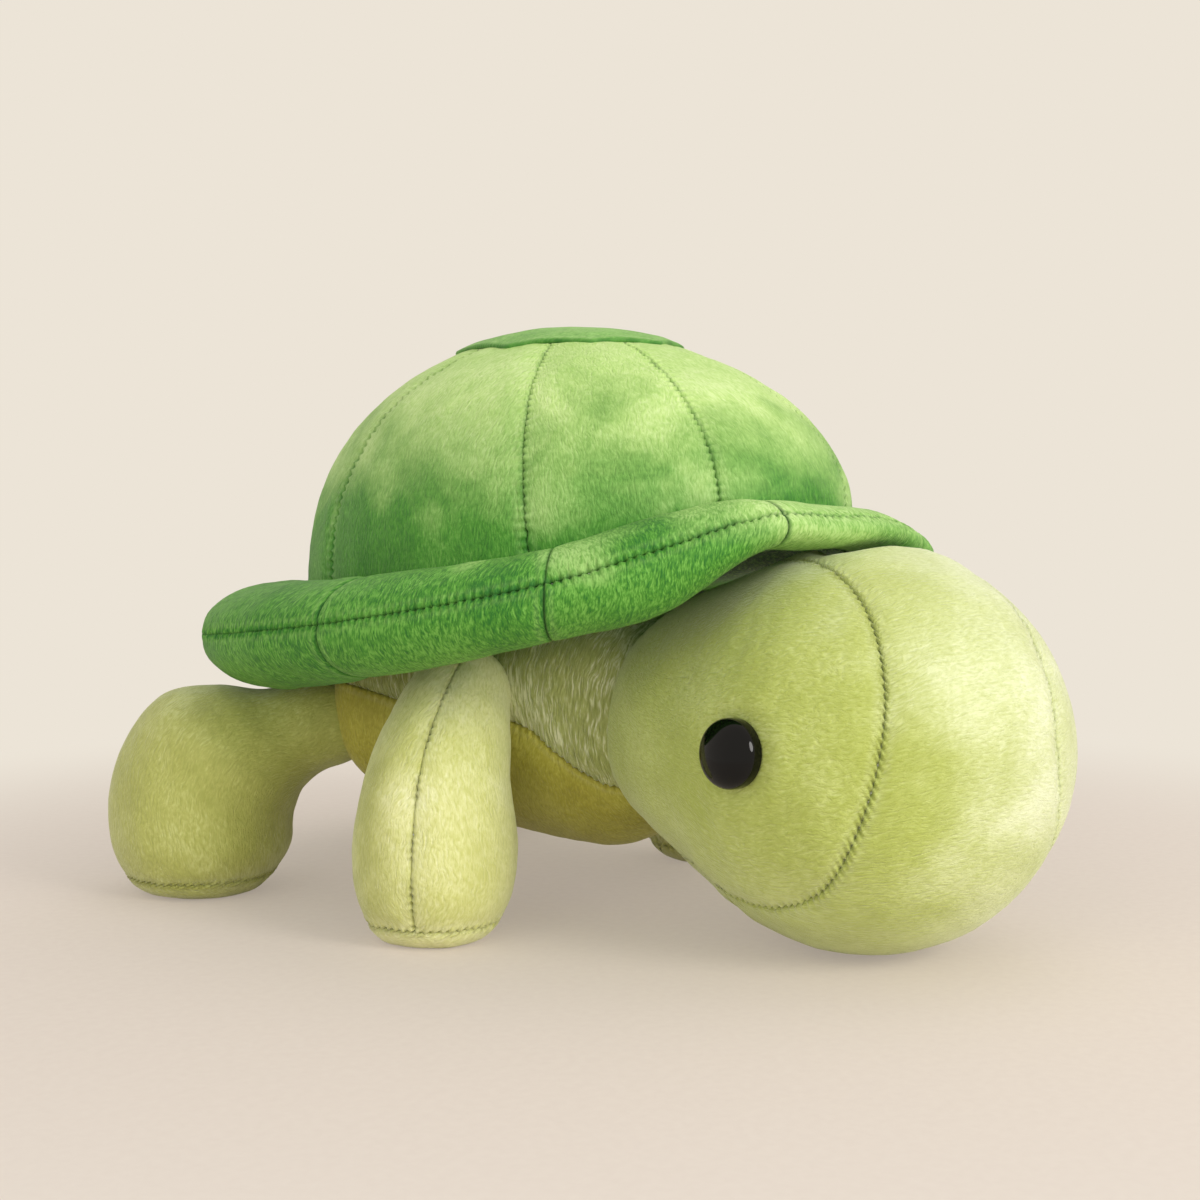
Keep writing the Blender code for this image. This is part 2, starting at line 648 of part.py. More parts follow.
def build_head(looks):
    """Middle panel, throat, two side panels, stuffing and the eyes."""
    seam = SIDE_SEAM_SHARE
    across = np.linspace(-seam, seam, 5)
    over = np.r_[np.linspace(CHIN_SEAM, CROWN_START, 11)[:-1], np.linspace(CROWN_START, CROWN_END, 10),
                 np.linspace(CROWN_END, pi - NAPE_HALF_GAP, 4)[1:]]
    under = np.linspace(pi + NAPE_HALF_GAP, 2 * pi + CHIN_SEAM, 6)
    full = np.r_[over, under]
    outer = np.array([seam, *CHEEK_ROW_SHARES])
    pieces = {
        "head_middle": panel("head_middle", head, across, over, looks["skin"], trim=on_floor),
        "head_throat": panel("head_throat", head, across, under, looks["skin"], trim=on_floor),
        "head_side_left": panel("head_side_left", head, outer, full, looks["skin"], wrapped=True, pole=True,
                                trim=on_floor),
        "head_side_right": panel("head_side_right", head, -outer, full, looks["skin"], wrapped=True, pole=True,
                                 trim=on_floor),
        "head_stuffing": stuffing("head_stuffing", head, np.r_[-outer[::-1], across[1:-1], outer], full,
                                  looks["fill"], trim=on_floor),
    }
    chest = build_chest_clearance()
    for piece in pieces.values():
        cut(piece, chest)
    for name, way in (("left", 1), ("right", -1)):
        build_eye(name, way, pieces, looks)


def build_chest_clearance():
    """The chest's own turned shape, larger by the gap, so the head fits it and turns on it."""
    slant = np.r_[np.linspace(-pi / 2, 0, 9)[:-1], np.linspace(0, pi / 2, 21)]
    reach = chest_reach(np.sin(slant)) + CHEST_GAP
    clear = 1 / cos(pi / TURNED_CELLS)
    profile = np.stack([reach * np.cos(slant) * clear, reach * np.sin(slant)], -1)
    places, faces = turned(profile, TURNED_CELLS, np.array([0, -CHEST_AHEAD, CHEST_HEIGHT]), (0, 0, 1), (1, 0, 0))
    return cutter("chest_clearance", places, faces)


def build_eye(name, way, pieces, looks):
    """Domed safety eye with its post, and the washer that locks it behind the cloth."""
    around = np.array([np.arctan2(EYE_ABOVE, EYE_AHEAD)])
    share = np.arccos(np.hypot(EYE_AHEAD, EYE_ABOVE) / HEAD_RADIUS) / (pi / 2)
    shares = SEAM_LEFT_SHARES if way > 0 else SEAM_RIGHT_SHARES
    seam = through(SEAM_STATIONS, shares, np.degrees(around))
    across = way * (SIDE_SEAM_SHARE + (1 - SIDE_SEAM_SHARE) * (share - seam) / (1 - seam))
    place = head(across, around)[0]
    inward = inset(head, across, around, CLOTH)[0] - place
    axis = -inward / np.linalg.norm(inward)
    turn = np.linspace(0, pi / 2, 6)
    back = place + axis * FIT_GAP
    profile = [(0, -POST_LENGTH), (POST_RADIUS, -POST_LENGTH), (POST_RADIUS, 0), (EYE_RADIUS, 0)]
    profile += [(EYE_RADIUS * cos(t), EYE_EDGE + EYE_DOME * sin(t)) for t in turn]
    places, faces = turned(profile, EYE_CELLS, back, axis, (0, 0, 1))
    add_mesh(f"eye_{name}", places, faces, looks["eye"])

    set_in = CLOTH + FIT_GAP + WASHER_SET
    bore = POST_RADIUS + POST_CLEARANCE
    ring = [(bore, -set_in), (WASHER_RADIUS, -set_in), (WASHER_RADIUS, -set_in - WASHER_THICKNESS),
            (bore, -set_in - WASHER_THICKNESS), (bore, -set_in)]
    places, faces = turned(ring, EYE_CELLS, back, axis, (0, 0, 1))
    add_mesh(f"eye_washer_{name}", places, faces, looks["washer"])

    hole_radius = bore + POCKET_CLEARANCE
    hole = [(0, CUT_OVERRUN), (hole_radius, CUT_OVERRUN), (hole_radius, -CUT_OVERRUN), (0, -CUT_OVERRUN)]
    places, faces = turned(hole, POST_HOLE_CELLS, back, axis, (0, 0, 1))
    cut(pieces[f"head_side_{name}"], cutter(f"post_hole_{name}", places, faces))
    pocket_radius = WASHER_RADIUS + POCKET_CLEARANCE
    depth = POST_LENGTH + POCKET_CLEARANCE
    shelf = set_in + WASHER_THICKNESS + POCKET_CLEARANCE
    pocket = [(0, CUT_OVERRUN), (pocket_radius, CUT_OVERRUN), (pocket_radius, -shelf), (hole_radius, -shelf),
              (hole_radius, -depth), (0, -depth)]
    places, faces = turned(pocket, EYE_CELLS, back, axis, (0, 0, 1))
    cut(pieces["head_stuffing"], cutter(f"washer_pocket_{name}", places, faces))


def leg(hip, hip_radius, foot, radius, sole_radius, lean, bend_shares):
    """A leg's surface and its number of sections, from the hip to the flat under the sole."""
    hip = np.array([*hip, hip_radius, 1.0])
    sole = np.array([*foot, SOLE_HEIGHT, sole_radius, 0.0])
    middle = []
    for share, height_share, radius_share, lean_share in bend_shares:
        place = hip + (sole - hip) * share
        place[2] = sole[2] + (hip[2] - sole[2]) * height_share
        place[3] = hip_radius + (radius - hip_radius) * radius_share
        place[4] = lean_share
        middle.append(place)
    low = sole * np.array([1, 1, SOLE_CURVE_SHARE, (1 + SOLE_FLAT_SHARE) / 2, 1])
    flat = sole * np.array([1, 1, 0, SOLE_FLAT_SHARE, 1])
    sections = np.array([hip, *middle, sole, low, flat])
    heading = (sole - hip)[:2] / np.hypot(*(sole - hip)[:2])
    return limb(sections, heading, lean), len(sections)


def mirrored(surface, way):
    """A limb on the left as it is, or on the right as its mirror image."""
    def other(along, around):
        place = surface(along, around)
        return place * np.array([way, 1, 1])
    return other


def build_legs(looks):
    """Four legs: the front ones of two panels, the rear ones of one that wraps round, each with a sole."""
    front = leg(FRONT_HIP, FRONT_HIP_RADIUS, FRONT_FOOT, FRONT_LEG_RADIUS, FRONT_SOLE_RADIUS, FRONT_LEAN,
                FRONT_BEND_SHARES)
    rear = leg(REAR_HIP, REAR_HIP_RADIUS, REAR_FOOT, REAR_LEG_RADIUS, REAR_SOLE_RADIUS, REAR_LEAN,
               REAR_BEND_SHARES)
    for end, (form, count), seam in (("front", front, FRONT_SEAM), ("rear", rear, REAR_SEAM)):
        sole_at = count - 3
        last = count - 1
        turn = seam + np.arange(LEG_CELLS + 1) * 2 * pi / LEG_CELLS
        shaft = np.r_[HIP_COVER_SHARES, np.arange(0, sole_at + 1)]
        for name, way in (("left", 1), ("right", -1)):
            surface = describe(mirrored(form, way), way, (-1, last + 1))
            title = f"leg_{end}_{name}"
            if end == "front":
                half = LEG_CELLS // 2
                panel(f"{title}_outer", surface, shaft, turn[:half + 1] - pi, looks["leg"])
                panel(f"{title}_inner", surface, shaft, turn[half:] - pi, looks["leg"])
            else:
                panel(f"{title}_cover", surface, shaft, turn, looks["leg"])
            foot = np.array([sole_at, sole_at + 1, last, last + 1], float)
            panel(f"{title}_sole", surface, foot, turn[:-1], looks["leg"], wrapped=True, pole=True)
            levels = np.r_[-1, shaft, sole_at + 1, last, last + 1]
            stuffing(f"{title}_stuffing", surface, levels, turn[:-1], looks["fill"])


def build_tail(looks):
    """Small cone sewn to the rear of the body."""
    sections = []
    for along, girth in TAIL_SHARES:
        ahead = TAIL_AHEAD - TAIL_LENGTH * along
        sections.append((0, ahead, TAIL_HEIGHT - TAIL_DROP * along, TAIL_RADIUS * girth, 1))
    surface = describe(limb(sections, (0, -1), TAIL_LEAN), 1, (-1, len(sections)))
    levels = np.array(TAIL_ROW_SHARES)
    stuffing("tail", surface, levels, np.arange(TAIL_CELLS) * 2 * pi / TAIL_CELLS, looks["flank"], depth=0.0)


def add_empty(name, place, parent=None):
    empty = bpy.data.objects.new(name, None)
    bpy.context.scene.collection.objects.link(empty)
    empty.parent = parent
    empty.location = place
    return empty


def build_joints():
    """An empty on each joint's axis carries that limb's pieces, and one more centres the whole turtle."""
    things = [thing for thing in bpy.data.objects if thing.type == "MESH"]
    corners = np.array([vertex.co for thing in things if not thing.hide_render for vertex in thing.data.vertices])
    middle = (corners.min(0) + corners.max(0)) / 2
    root = add_empty("turtle", (-middle[0], -middle[1], 0))
    hinges = [(("head", "eye"), "neck_hinge", (0, -CHEST_AHEAD, CHEST_HEIGHT)),
              (("tail",), "tail_hinge", (0, -TAIL_AHEAD, TAIL_HEIGHT))]
    for end, hip in (("front", FRONT_HIP), ("rear", REAR_HIP)):
        for name, way in (("left", 1), ("right", -1)):
            hinges.append(((f"leg_{end}_{name}",), f"hinge_{end}_{name}", (way * hip[0], -hip[1], hip[2])))
    for thing in things:
        thing.parent = root
        for starts, name, place in hinges:
            if thing.name.startswith(starts) and not thing.hide_render:
                thing.parent = bpy.data.objects.get(name) or add_empty(name, place, root)
                thing.location = -np.array(place)


def main():
    clear_scene()
    looks = {
        "dome": material("dome_plush", (0.25, 0.50, 0.10), 0.95),
        "patch": material("patch_plush", (0.10, 0.33, 0.04), 0.95),
        "rim": material("rim_plush", (0.09, 0.32, 0.04), 0.95),
        "skin": material("head_plush", (0.55, 0.62, 0.22), 0.95),
        "leg": material("leg_plush", (0.58, 0.66, 0.26), 0.95),
        "flank": material("flank_plush", (0.50, 0.52, 0.24), 0.95),
        "belly": material("belly_plush", (0.38, 0.36, 0.06), 0.95),
        "fill": material("stuffing", (0.85, 0.85, 0.82), 1.0),
        "eye": material("eye_plastic", (0.005, 0.005, 0.005), 0.08),
        "washer": material("washer_plastic", (0.8, 0.8, 0.78), 0.5),
        "cutter": material("cutter", (0.5, 0.5, 0.5), 1.0),
    }
    describe(dome, -1, (0, 2))
    describe(shell_base, 1, (0, 2))
    describe(rim_upper, 1, (-1, 2))
    describe(rim_inside, 1, (-1, 2))
    describe(rim_lower, -1, (-1, 2))
    describe(body, 1, (0, 1))
    describe(head, 1, (-1, 1))
    build_shell(looks)
    hips = []
    for way, side in ((1, "left"), (-1, "right")):
        for end, hip, radius in (("front", FRONT_HIP, FRONT_HIP_RADIUS), ("rear", REAR_HIP, REAR_HIP_RADIUS)):
            centre = (way * hip[0], -hip[1], hip[2])
            hips.append(ball_cutter(f"hip_{end}_{side}", centre, radius + FIT_GAP))
    hips.append(ball_cutter("tail_seat", (0, -TAIL_AHEAD, TAIL_HEIGHT), TAIL_RADIUS + FIT_GAP))
    build_body(looks, hips)
    build_head(looks)
    build_legs(looks)
    build_tail(looks)
    build_joints()


main()
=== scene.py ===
import json
from functools import partial
from math import cos, pi, radians, sin

import bmesh
import bpy
import numpy as np
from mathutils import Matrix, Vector


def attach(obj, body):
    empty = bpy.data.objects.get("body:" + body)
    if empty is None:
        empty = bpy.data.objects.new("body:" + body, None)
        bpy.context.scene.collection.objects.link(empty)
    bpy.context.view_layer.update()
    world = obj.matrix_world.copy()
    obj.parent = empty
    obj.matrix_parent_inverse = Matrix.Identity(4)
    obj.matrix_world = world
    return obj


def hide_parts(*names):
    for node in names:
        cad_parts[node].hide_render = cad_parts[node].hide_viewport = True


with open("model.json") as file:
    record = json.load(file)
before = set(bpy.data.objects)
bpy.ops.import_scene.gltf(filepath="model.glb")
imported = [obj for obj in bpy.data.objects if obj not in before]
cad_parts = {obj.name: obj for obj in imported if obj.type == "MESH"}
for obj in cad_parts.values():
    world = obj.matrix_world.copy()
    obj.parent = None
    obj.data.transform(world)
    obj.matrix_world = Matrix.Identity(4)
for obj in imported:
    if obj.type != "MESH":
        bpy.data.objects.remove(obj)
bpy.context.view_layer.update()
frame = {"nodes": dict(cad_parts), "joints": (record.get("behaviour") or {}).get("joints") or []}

# Sizes of the forms, in metres and radians. They are the solids' own, apart from the front shoulders,
# the saddle, the crown's right seam, and the dome's foot with the rim's covers beside it. Shares go with
# the stations or angles named in their own group.

# The cloth's thickness, and the gaps beside it and inside it
CLOTH = 0.0014
FIT_GAP = 0.0003
FILL_GAP = CLOTH + 2 * FIT_GAP
FLOOR_FLAT = 0.0005

# The shell: its gored dome, its patch and its underside
SHELL_TURN = radians(8)
GORES = 8
DOME_FRONT = 0.107
DOME_REAR = 0.117
DOME_HALF_WIDTH = 0.088
DOME_TOP = 0.2093
DOME_SPRING_HEIGHT = 0.131
DOME_SPRING_TILT = 0.018
DOME_ROUND_FRONT = 1.8
DOME_ROUND_REAR = 2.15
DOME_ARC_SHARE = 0.86
DOME_FLARE = 0.0008
GORE_START_SHARE = 0.2
GORE_TUCK_SHARE = 0.02
GORE_ANGLES = (0, 22.5, 67.5, 112.5, 180)
GORE_LEAN = radians(8)
GORE_LEAN_SHARES = (0, 0, -1, 0, 0)
PATCH_FRONT = 0.045
PATCH_HALF_WIDTH = 0.038
PATCH_CORNERS = 8
SHELL_BASE_MIDDLE = 0.113
SHELL_BASE_POWER = 1.5

# The stuffed rim: its section, and the shares of it at angles from the front towards the right
RIM_PANELS = 10
RIM_OUT = 0.018
RIM_IN = 0.011
RIM_HEIGHT = 0.100
RIM_THICKNESS = 0.039
RIM_ROLL = radians(40)
RIM_OPEN = radians(7)
RIM_ANGLES = (-180, -126, -90, -60, -40, -20, 0, 15, 28, 45, 60, 90, 126, 180)
RIM_HEIGHT_SHARES = (.93, .985, 1.085, 1.19, 1.24, 1.29, 1.39, 1.405, 1.41, 1.29, 1.207, 1.087, .987, .93)
RIM_THICKNESS_SHARES = (1, .99, .88, .76, .55, .42, .37, .38, .46, .82, .78, .87, .99, 1)
RIM_OUT_SHARES = (1.5, 1.55, 1.2, 1.05, 1, 1, 1, 1, 1, 1, 1.05, 1.2, 1.6, 1.5)
RIM_ROLL_SHARES = (0, .1, .25, .5, .7, .9, 1, .95, .85, .65, .5, .25, .1, 0)

# The body: the chest, the shares of its form from front to rear, and its belly's seams
CHEST_RADIUS = 0.049
CHEST_AHEAD = 0.015
CHEST_HEIGHT = 0.070
CHEST_RISE = 0.0375
CHEST_SQUARENESS = 3.2
BODY_FIRST = 0.03
BODY_LAST = 0.985
BODY_REAR = 0.112
BODY_REAR_FULLNESS = 0.5
BODY_REAR_SQUARENESS = 0.6
BODY_REAR_DEPTH = 0.25
BODY_REAR_FALL = 0.2
BODY_REAR_ONSET = 1.3
BODY_WIDTH_STATIONS = (0.4, 0.52, 0.6, 0.68, 0.76, 0.82, 0.92, 1)
BODY_WIDTH_SHARES = (1, 1, 1.05, 1.25, 1.47, 1.37, 1.3, 1.3)
BELLY_SEAM_STATIONS = (0, .31, .43, .53, .65, .76, .84, 1)
BELLY_SEAM_DROP = radians(45)
BELLY_SEAM_SHARES = (1, .73, .27, -.02, -.12, -.42, -.4, 0)

# The head: its side outline from the face upwards, the rim's saddle in it, and its panels' seams
HEAD_RADIUS = 0.067
HEAD_AHEAD = 0.127
HEAD_ASIDE = 0.0094
HEAD_TURN = radians(18.5)
HEAD_BEND = 0.0094
HEAD_STATIONS = (0, 45, 90, 110, 120, 130, 140, 150, 160, 170, 180, 187, 195, 205, 215, 225, 240, 270, 315,
                 360)
HEAD_OUTLINE_SHARES = (1, 1.01, 1.03, 1.03, 1.05, 1.1, 1.185, 1.29, 1.38, 1.42, 1.42, 1.4, 1.34, 1.23, 1.12,
                       1.05, 1.01, 1, 1, 1)
HEAD_SWING_LEFT = radians(10)
HEAD_SWING_RIGHT = radians(6)
SADDLE_TURNS = 9
SADDLE_GAP = 0.001
SADDLE_MARGIN_SHARE = 1.06
SADDLE_BLEND = 0.002
SIDE_SEAM_SHARE = 0.35
SEAM_STATIONS = (-180, -130, -96, -50, -20, 8, 30, 57, 95, 130, 180)
SEAM_RIGHT_SHARES = (.2, .45, .51, .497, .49, .443, .385, .313, .235, .12, .2)
SEAM_LEFT_SHARES = (.36, .42, .44, .40, .27, .215, .25, .28, .28, .28, .36)
CHIN_SEAM = radians(-112)
NAPE_HALF_GAP = radians(4)

# The domed eyes, and the dimple and low ridge of the cloth round each
EYE_RADIUS = 0.011
EYE_DOME = 0.0062
EYE_EDGE = 0.0014
EYE_SKIRT = 0.0016
EYE_LIP = 0.0005
EYE_ROUND = 0.94
EYE_AHEAD = 0.0105
EYE_ABOVE = 0.006
DIMPLE_DEPTH = 0.0014
DIMPLE_RADIUS = EYE_RADIUS * 1.22
RIDGE_HEIGHT = 0.0005
RIDGE_PLACE_SHARE = 1.25
RIDGE_WIDTH_SHARE = 0.3

# The legs: each end's hip or shoulder, foot, girth, lean and seam, and the sections between
FRONT_SHOULDER = (0.0592, -0.0073, 0.0795)
FRONT_SHOULDER_RADIUS = 0.0179
FRONT_FOOT = (0.084, 0.002)
FRONT_LEG_RADIUS = 0.028
FRONT_SOLE_RADIUS = 0.0235
FRONT_LEAN = radians(50)
FRONT_SEAM = radians(65)
FRONT_BEND_SHARES = ((.34, .88, .31, .7), (.78, .68, .65, .36), (.96, .44, .95, .1), (1, .2, .97, 0))
REAR_HIP = (0.049, -0.080, 0.064)
REAR_HIP_RADIUS = 0.017
REAR_FOOT = (0.081, -0.118)
REAR_LEG_RADIUS = 0.0345
REAR_SOLE_RADIUS = 0.028
REAR_LEAN = radians(70)
REAR_SEAM = radians(-140)
REAR_BEND_SHARES = ((.28, .94, .13, .76), (.53, .915, .48, .67), (.763, .84, .84, .53), (.92, .65, .97, .36),
                    (.99, .443, 1, .19), (1, .217, .94, .06))
HIP_COVER_START = -0.75
SOLE_HEIGHT = 0.0065
SOLE_FLAT_SHARE = 0.64
SOLE_CURVE_SHARE = 0.3

# The tail, and its girth at places along it
TAIL_AHEAD = -0.098
TAIL_HEIGHT = 0.069
TAIL_RADIUS = 0.0115
TAIL_LENGTH = 0.032
TAIL_DROP = 0.014
TAIL_LEAN = radians(66)
TAIL_SHARES = ((0, 1), (.35, .95), (.7, .68), (.95, .3))
TAIL_DIP_GIRTH = 0.02

# Seams: the turned-in edge, the dip along it, the stitches' pinch, the line and dashes that they draw,
# and a painted highlight beside them, for the light on the nap that stands up there
SEAM_ROUND = 0.0013
FILL_DEPTH = FILL_GAP + SEAM_ROUND * 0.5
SEAM_ROUND_SHARE = 0.93
SEAM_DIP = 0.0009
SEAM_DIP_WIDTH = 0.0045
PLAIN_DIP_SHARE = 0.5
STITCH = 0.003
SLOW_BEAT = 3.7
SLOW_BEAT_SHARE = 0.35
PINCH_SHARE = 0.55
PINCH_WIDTH = SEAM_DIP_WIDTH / 1.3
LINE_WIDTH = 0.0007
LINE_SHARE = 0.55
DASH_WIDTH = 0.0015
DASH_POWER = 0.7
DRIFT_SHARE = 0.25
DRIFT_LENGTHS = (0.0137, 0.0089)
SEAM_HIGHLIGHT_PLACE = 0.0024
SEAM_HIGHLIGHT_WIDTH = 0.001
SEAM_HIGHLIGHT_SHARE = 0.16

# Lumps of the stuffed cloth: height, size and seed
CLOTH_LUMPS = ((0.0007, 0.034, 5), (0.00025, 0.009, 8))
TAIL_LUMPS = (0.0004, 0.012, 3)

# How far apart two numbered panels lie on the cloth's pattern, so that their naps differ
PATTERN_STEP = (0.371, 0.213)

# Steps of the grids: fine at a seam and growing away from it, and even along it
FINE = 0.00018
GROWTH = 0.3
COARSE = 0.0026
LEG_COARSE = 0.0014
SOLE_COARSE = 0.0018
ALONG_SEAM = 0.00068
LINE_SAMPLES = 1200
EVEN_SAMPLES = 1500

# Where the dome's, the body's and the head's steps are measured: the first two's widest level, and an
# angle from the face
DOME_WIDE_SHARE = 0.75
BODY_WIDE_SHARE = 0.45
HEAD_LINE = 0.2

# The studio: the camera, fitted to the photo, and a floor whose own glow grows to the wall's
LENS_MM = 57.0
SENSOR_MM = 36.0
CAMERA_TURN = radians(-53.5)
CAMERA_TILT = radians(4.2)
CAMERA_REACH = 0.706
CAMERA_HEIGHT = 0.162
CAMERA_ASIDE = 0.008
FLOOR_GLOW = 0.42
GLOW_NEAR = 0.18
GLOW_FAR = 0.5
FLOOR_RINGS = (0.0, 0.5, 1.5, 4.0, 12.0)
FLOOR_BELOW = 0.0002
WALL = "#ECE4D7"
LAMP_AIM_HEIGHT = 0.08

neck = next(joint for joint in frame["joints"] if joint["name"] == "head_turn")
MIDDLE = np.array([neck["pos_m"][0], neck["pos_m"][1] + CHEST_AHEAD, 0.0])


# ---------------------------------------------------------------- forms

def through(stations, values, where):
    """Smooth curve through values at stations: cubic pieces whose slopes are those of the neighbours."""
    stations = np.asarray(stations, float)
    values = np.asarray(values, float)
    slopes = np.gradient(values, stations, axis=0)
    where = np.clip(where, stations[0], stations[-1])
    at = np.clip(np.searchsorted(stations, where, side="right") - 1, 0, len(stations) - 2)
    span = stations[at + 1] - stations[at]
    t = (where - stations[at]) / span
    if values.ndim > 1:
        t = t[..., None]
        span = span[..., None]
    rise = t * t * (3 - 2 * t)
    return (values[at] * (1 - rise) + values[at + 1] * rise
            + span * slopes[at] * t * (1 - t) ** 2 - span * slopes[at + 1] * t * t * (1 - t))


def point(side, ahead, up):
    """Stack of positions: side is towards the turtle's left, ahead towards its face."""
    side, ahead, up = np.broadcast_arrays(side, ahead, up)
    return np.stack([side, -ahead, up], -1)


def shell_point(angle, reach, half_width, up):
    """Point on an oval round the shell's middle, at an angle from its front towards its right."""
    side = -half_width * np.sin(angle)
    ahead = reach * np.cos(angle)
    turned_side = side * cos(SHELL_TURN) - ahead * sin(SHELL_TURN)
    turned_ahead = ahead * cos(SHELL_TURN) + side * sin(SHELL_TURN)
    return point(turned_side, turned_ahead, up)


def dome_reach(angle):
    """Reach of the dome's oval: one ellipse in front of the middle and a longer one behind it."""
    return np.where(np.cos(angle) > 0, DOME_FRONT, DOME_REAR)


def around_rim(shares, angle):
    """Value of a table of shares at an angle of the shell."""
    wrapped = (np.degrees(angle + SHELL_TURN) + 180) % 360 - 180
    return through(RIM_ANGLES, shares, wrapped)


def rim_height(angle):
    """Height of the middle of the rim's section: the whole height times its share there."""
    return RIM_HEIGHT * around_rim(RIM_HEIGHT_SHARES, angle)


def rim_half_thickness(angle):
    """Half the height of the rim's section: half the whole thickness times its share there."""
    return RIM_THICKNESS / 2 * around_rim(RIM_THICKNESS_SHARES, angle)


def leaned(level, angle):
    """Angle of a gore's line at a level: some gores' seams lean forward towards the rim."""
    turned = (np.degrees(angle) + 180) % 360 - 180
    lean = GORE_LEAN * level * through(GORE_ANGLES, GORE_LEAN_SHARES, np.abs(turned))
    return angle + np.sign(turned) * lean


def dome(level, angle):
    """Dome: a superelliptic arc from the top to the spring line, then a skirt flared behind the rim."""
    angle = leaned(level, angle)
    front = (1 + np.cos(angle)) / 2
    power = DOME_ROUND_REAR + (DOME_ROUND_FRONT - DOME_ROUND_REAR) * front
    spring = DOME_SPRING_HEIGHT + DOME_SPRING_TILT * np.cos(angle)
    turn = np.clip(level / DOME_ARC_SHARE, 0, 1) * pi / 2
    share = np.sin(turn) ** (2 / power)
    height = spring + (DOME_TOP - spring) * np.clip(np.cos(turn), 0, 1) ** (2 / power)
    skirt = np.clip((level - DOME_ARC_SHARE) / (1 - DOME_ARC_SHARE), 0, 1)
    height = height + (rim_height(angle) - spring) * skirt
    flare = DOME_FLARE * skirt
    return shell_point(angle, dome_reach(angle) * share + flare, DOME_HALF_WIDTH * share + flare, height)


def shell_base(level, angle):
    """Underside of the shell: a dished sheet inside the foot of the dome."""
    angle = leaned(level, angle)
    reach = dome_reach(angle) - CLOTH - FIT_GAP
    half_width = DOME_HALF_WIDTH - CLOTH - FIT_GAP
    height = SHELL_BASE_MIDDLE + (rim_height(angle) - SHELL_BASE_MIDDLE) * level ** SHELL_BASE_POWER
    return shell_point(angle, reach * level, half_width * level, height)


def patch(level, angle):
    """The dome's top inside an eight-sided outline: distances are shares of the outline's reach."""
    corner = 2 * pi / PATCH_CORNERS
    within = (angle + corner / 2) % corner - corner / 2
    edge_share = cos(corner / 2) / np.cos(np.abs(within) - corner / 2)
    widest = np.sqrt(PATCH_FRONT / DOME_FRONT * PATCH_HALF_WIDTH / DOME_HALF_WIDTH)
    turn = np.arcsin(np.clip(widest * edge_share * level, 0, 1))
    return dome(turn / (pi / 2) * DOME_ARC_SHARE, angle)


def rim(turn, angle):
    """Rim: an oval section, thicker outside than inside, carried round the foot of the dome."""
    reach = dome_reach(angle) + FIT_GAP + RIM_IN
    half_width = DOME_HALF_WIDTH + FIT_GAP + RIM_IN
    outer = RIM_OUT * around_rim(RIM_OUT_SHARES, angle)
    out = np.where(np.cos(turn) > 0, outer, RIM_IN) * np.cos(turn)
    height = rim_height(angle) + rim_half_thickness(angle) * np.sin(turn)
    return shell_point(angle, reach + out, half_width + out, height)


def rim_seam(angle):
    """Place round the rim's section where its upper and lower panels meet."""
    return RIM_ROLL * around_rim(RIM_ROLL_SHARES, angle)


def rim_upper(share, angle):
    """Upper half of the section, from the edge seam over the top to the dome's foot."""
    seam = rim_seam(angle)
    return rim(seam + (pi - RIM_OPEN - seam) * share, angle)


def rim_lower(share, angle):
    """Lower half of the section, from the edge seam under the rim to the dome's foot."""
    seam = rim_seam(angle)
    return rim(seam - (pi - RIM_OPEN + seam) * share, angle)


def chest_reach(up_share):
    """Distance of the chest's surface from its middle: an ellipse below, a squarer superellipse above."""
    level_share = np.sqrt(np.clip(1 - up_share ** 2, 0, 1))
    high = up_share > 0
    power = np.where(high, CHEST_SQUARENESS, 2.0)
    height = np.where(high, CHEST_RISE, CHEST_RADIUS)
    total = (level_share / CHEST_RADIUS) ** power + (np.abs(up_share) / height) ** power
    return total ** (-1 / power)


def body(along, around):
    """Body: the chest, turned about its upright axis in front and drawn out to the rear behind it.

    around is zero under the belly, where the belly's panels meet, and half at the seams to the flanks.
    """
    turn = along * pi
    place = (around + 1) % 2 - 1
    seam = -BELLY_SEAM_DROP * through(BELLY_SEAM_STATIONS, BELLY_SEAM_SHARES, along)
    half = np.abs(place)
    under = -pi / 2 + (seam + pi / 2) * 2 * half
    over = seam + (pi / 2 - seam) * (2 * half - 1)
    slant = np.where(half < 0.5, under, over)
    up_share = np.sin(turn) * np.sin(slant)
    reach = chest_reach(up_share)
    rear = np.clip(2 * along - 1, 0, 1) ** BODY_REAR_ONSET
    width = through(BODY_WIDTH_STATIONS, BODY_WIDTH_SHARES, along)
    ahead = reach * np.cos(turn) * np.where(along < 0.5, 1, BODY_REAR / CHEST_RADIUS)
    full = np.clip(np.sin(turn), 0, 1) ** np.where(along < 0.5, 1, 1 - BODY_REAR_FULLNESS)
    square = 1 - BODY_REAR_SQUARENESS * (width - 1)
    side = np.sign(place) * reach * full * width * np.clip(np.cos(slant), 0, 1) ** square
    up = reach * up_share * np.where(up_share > 0, 1 - BODY_REAR_FALL * rear, 1)
    up = up * np.clip(np.sin(turn), 1e-4, 1) ** (BODY_REAR_DEPTH * (1 - width))
    return point(side, CHEST_AHEAD + ahead, CHEST_HEIGHT + up)


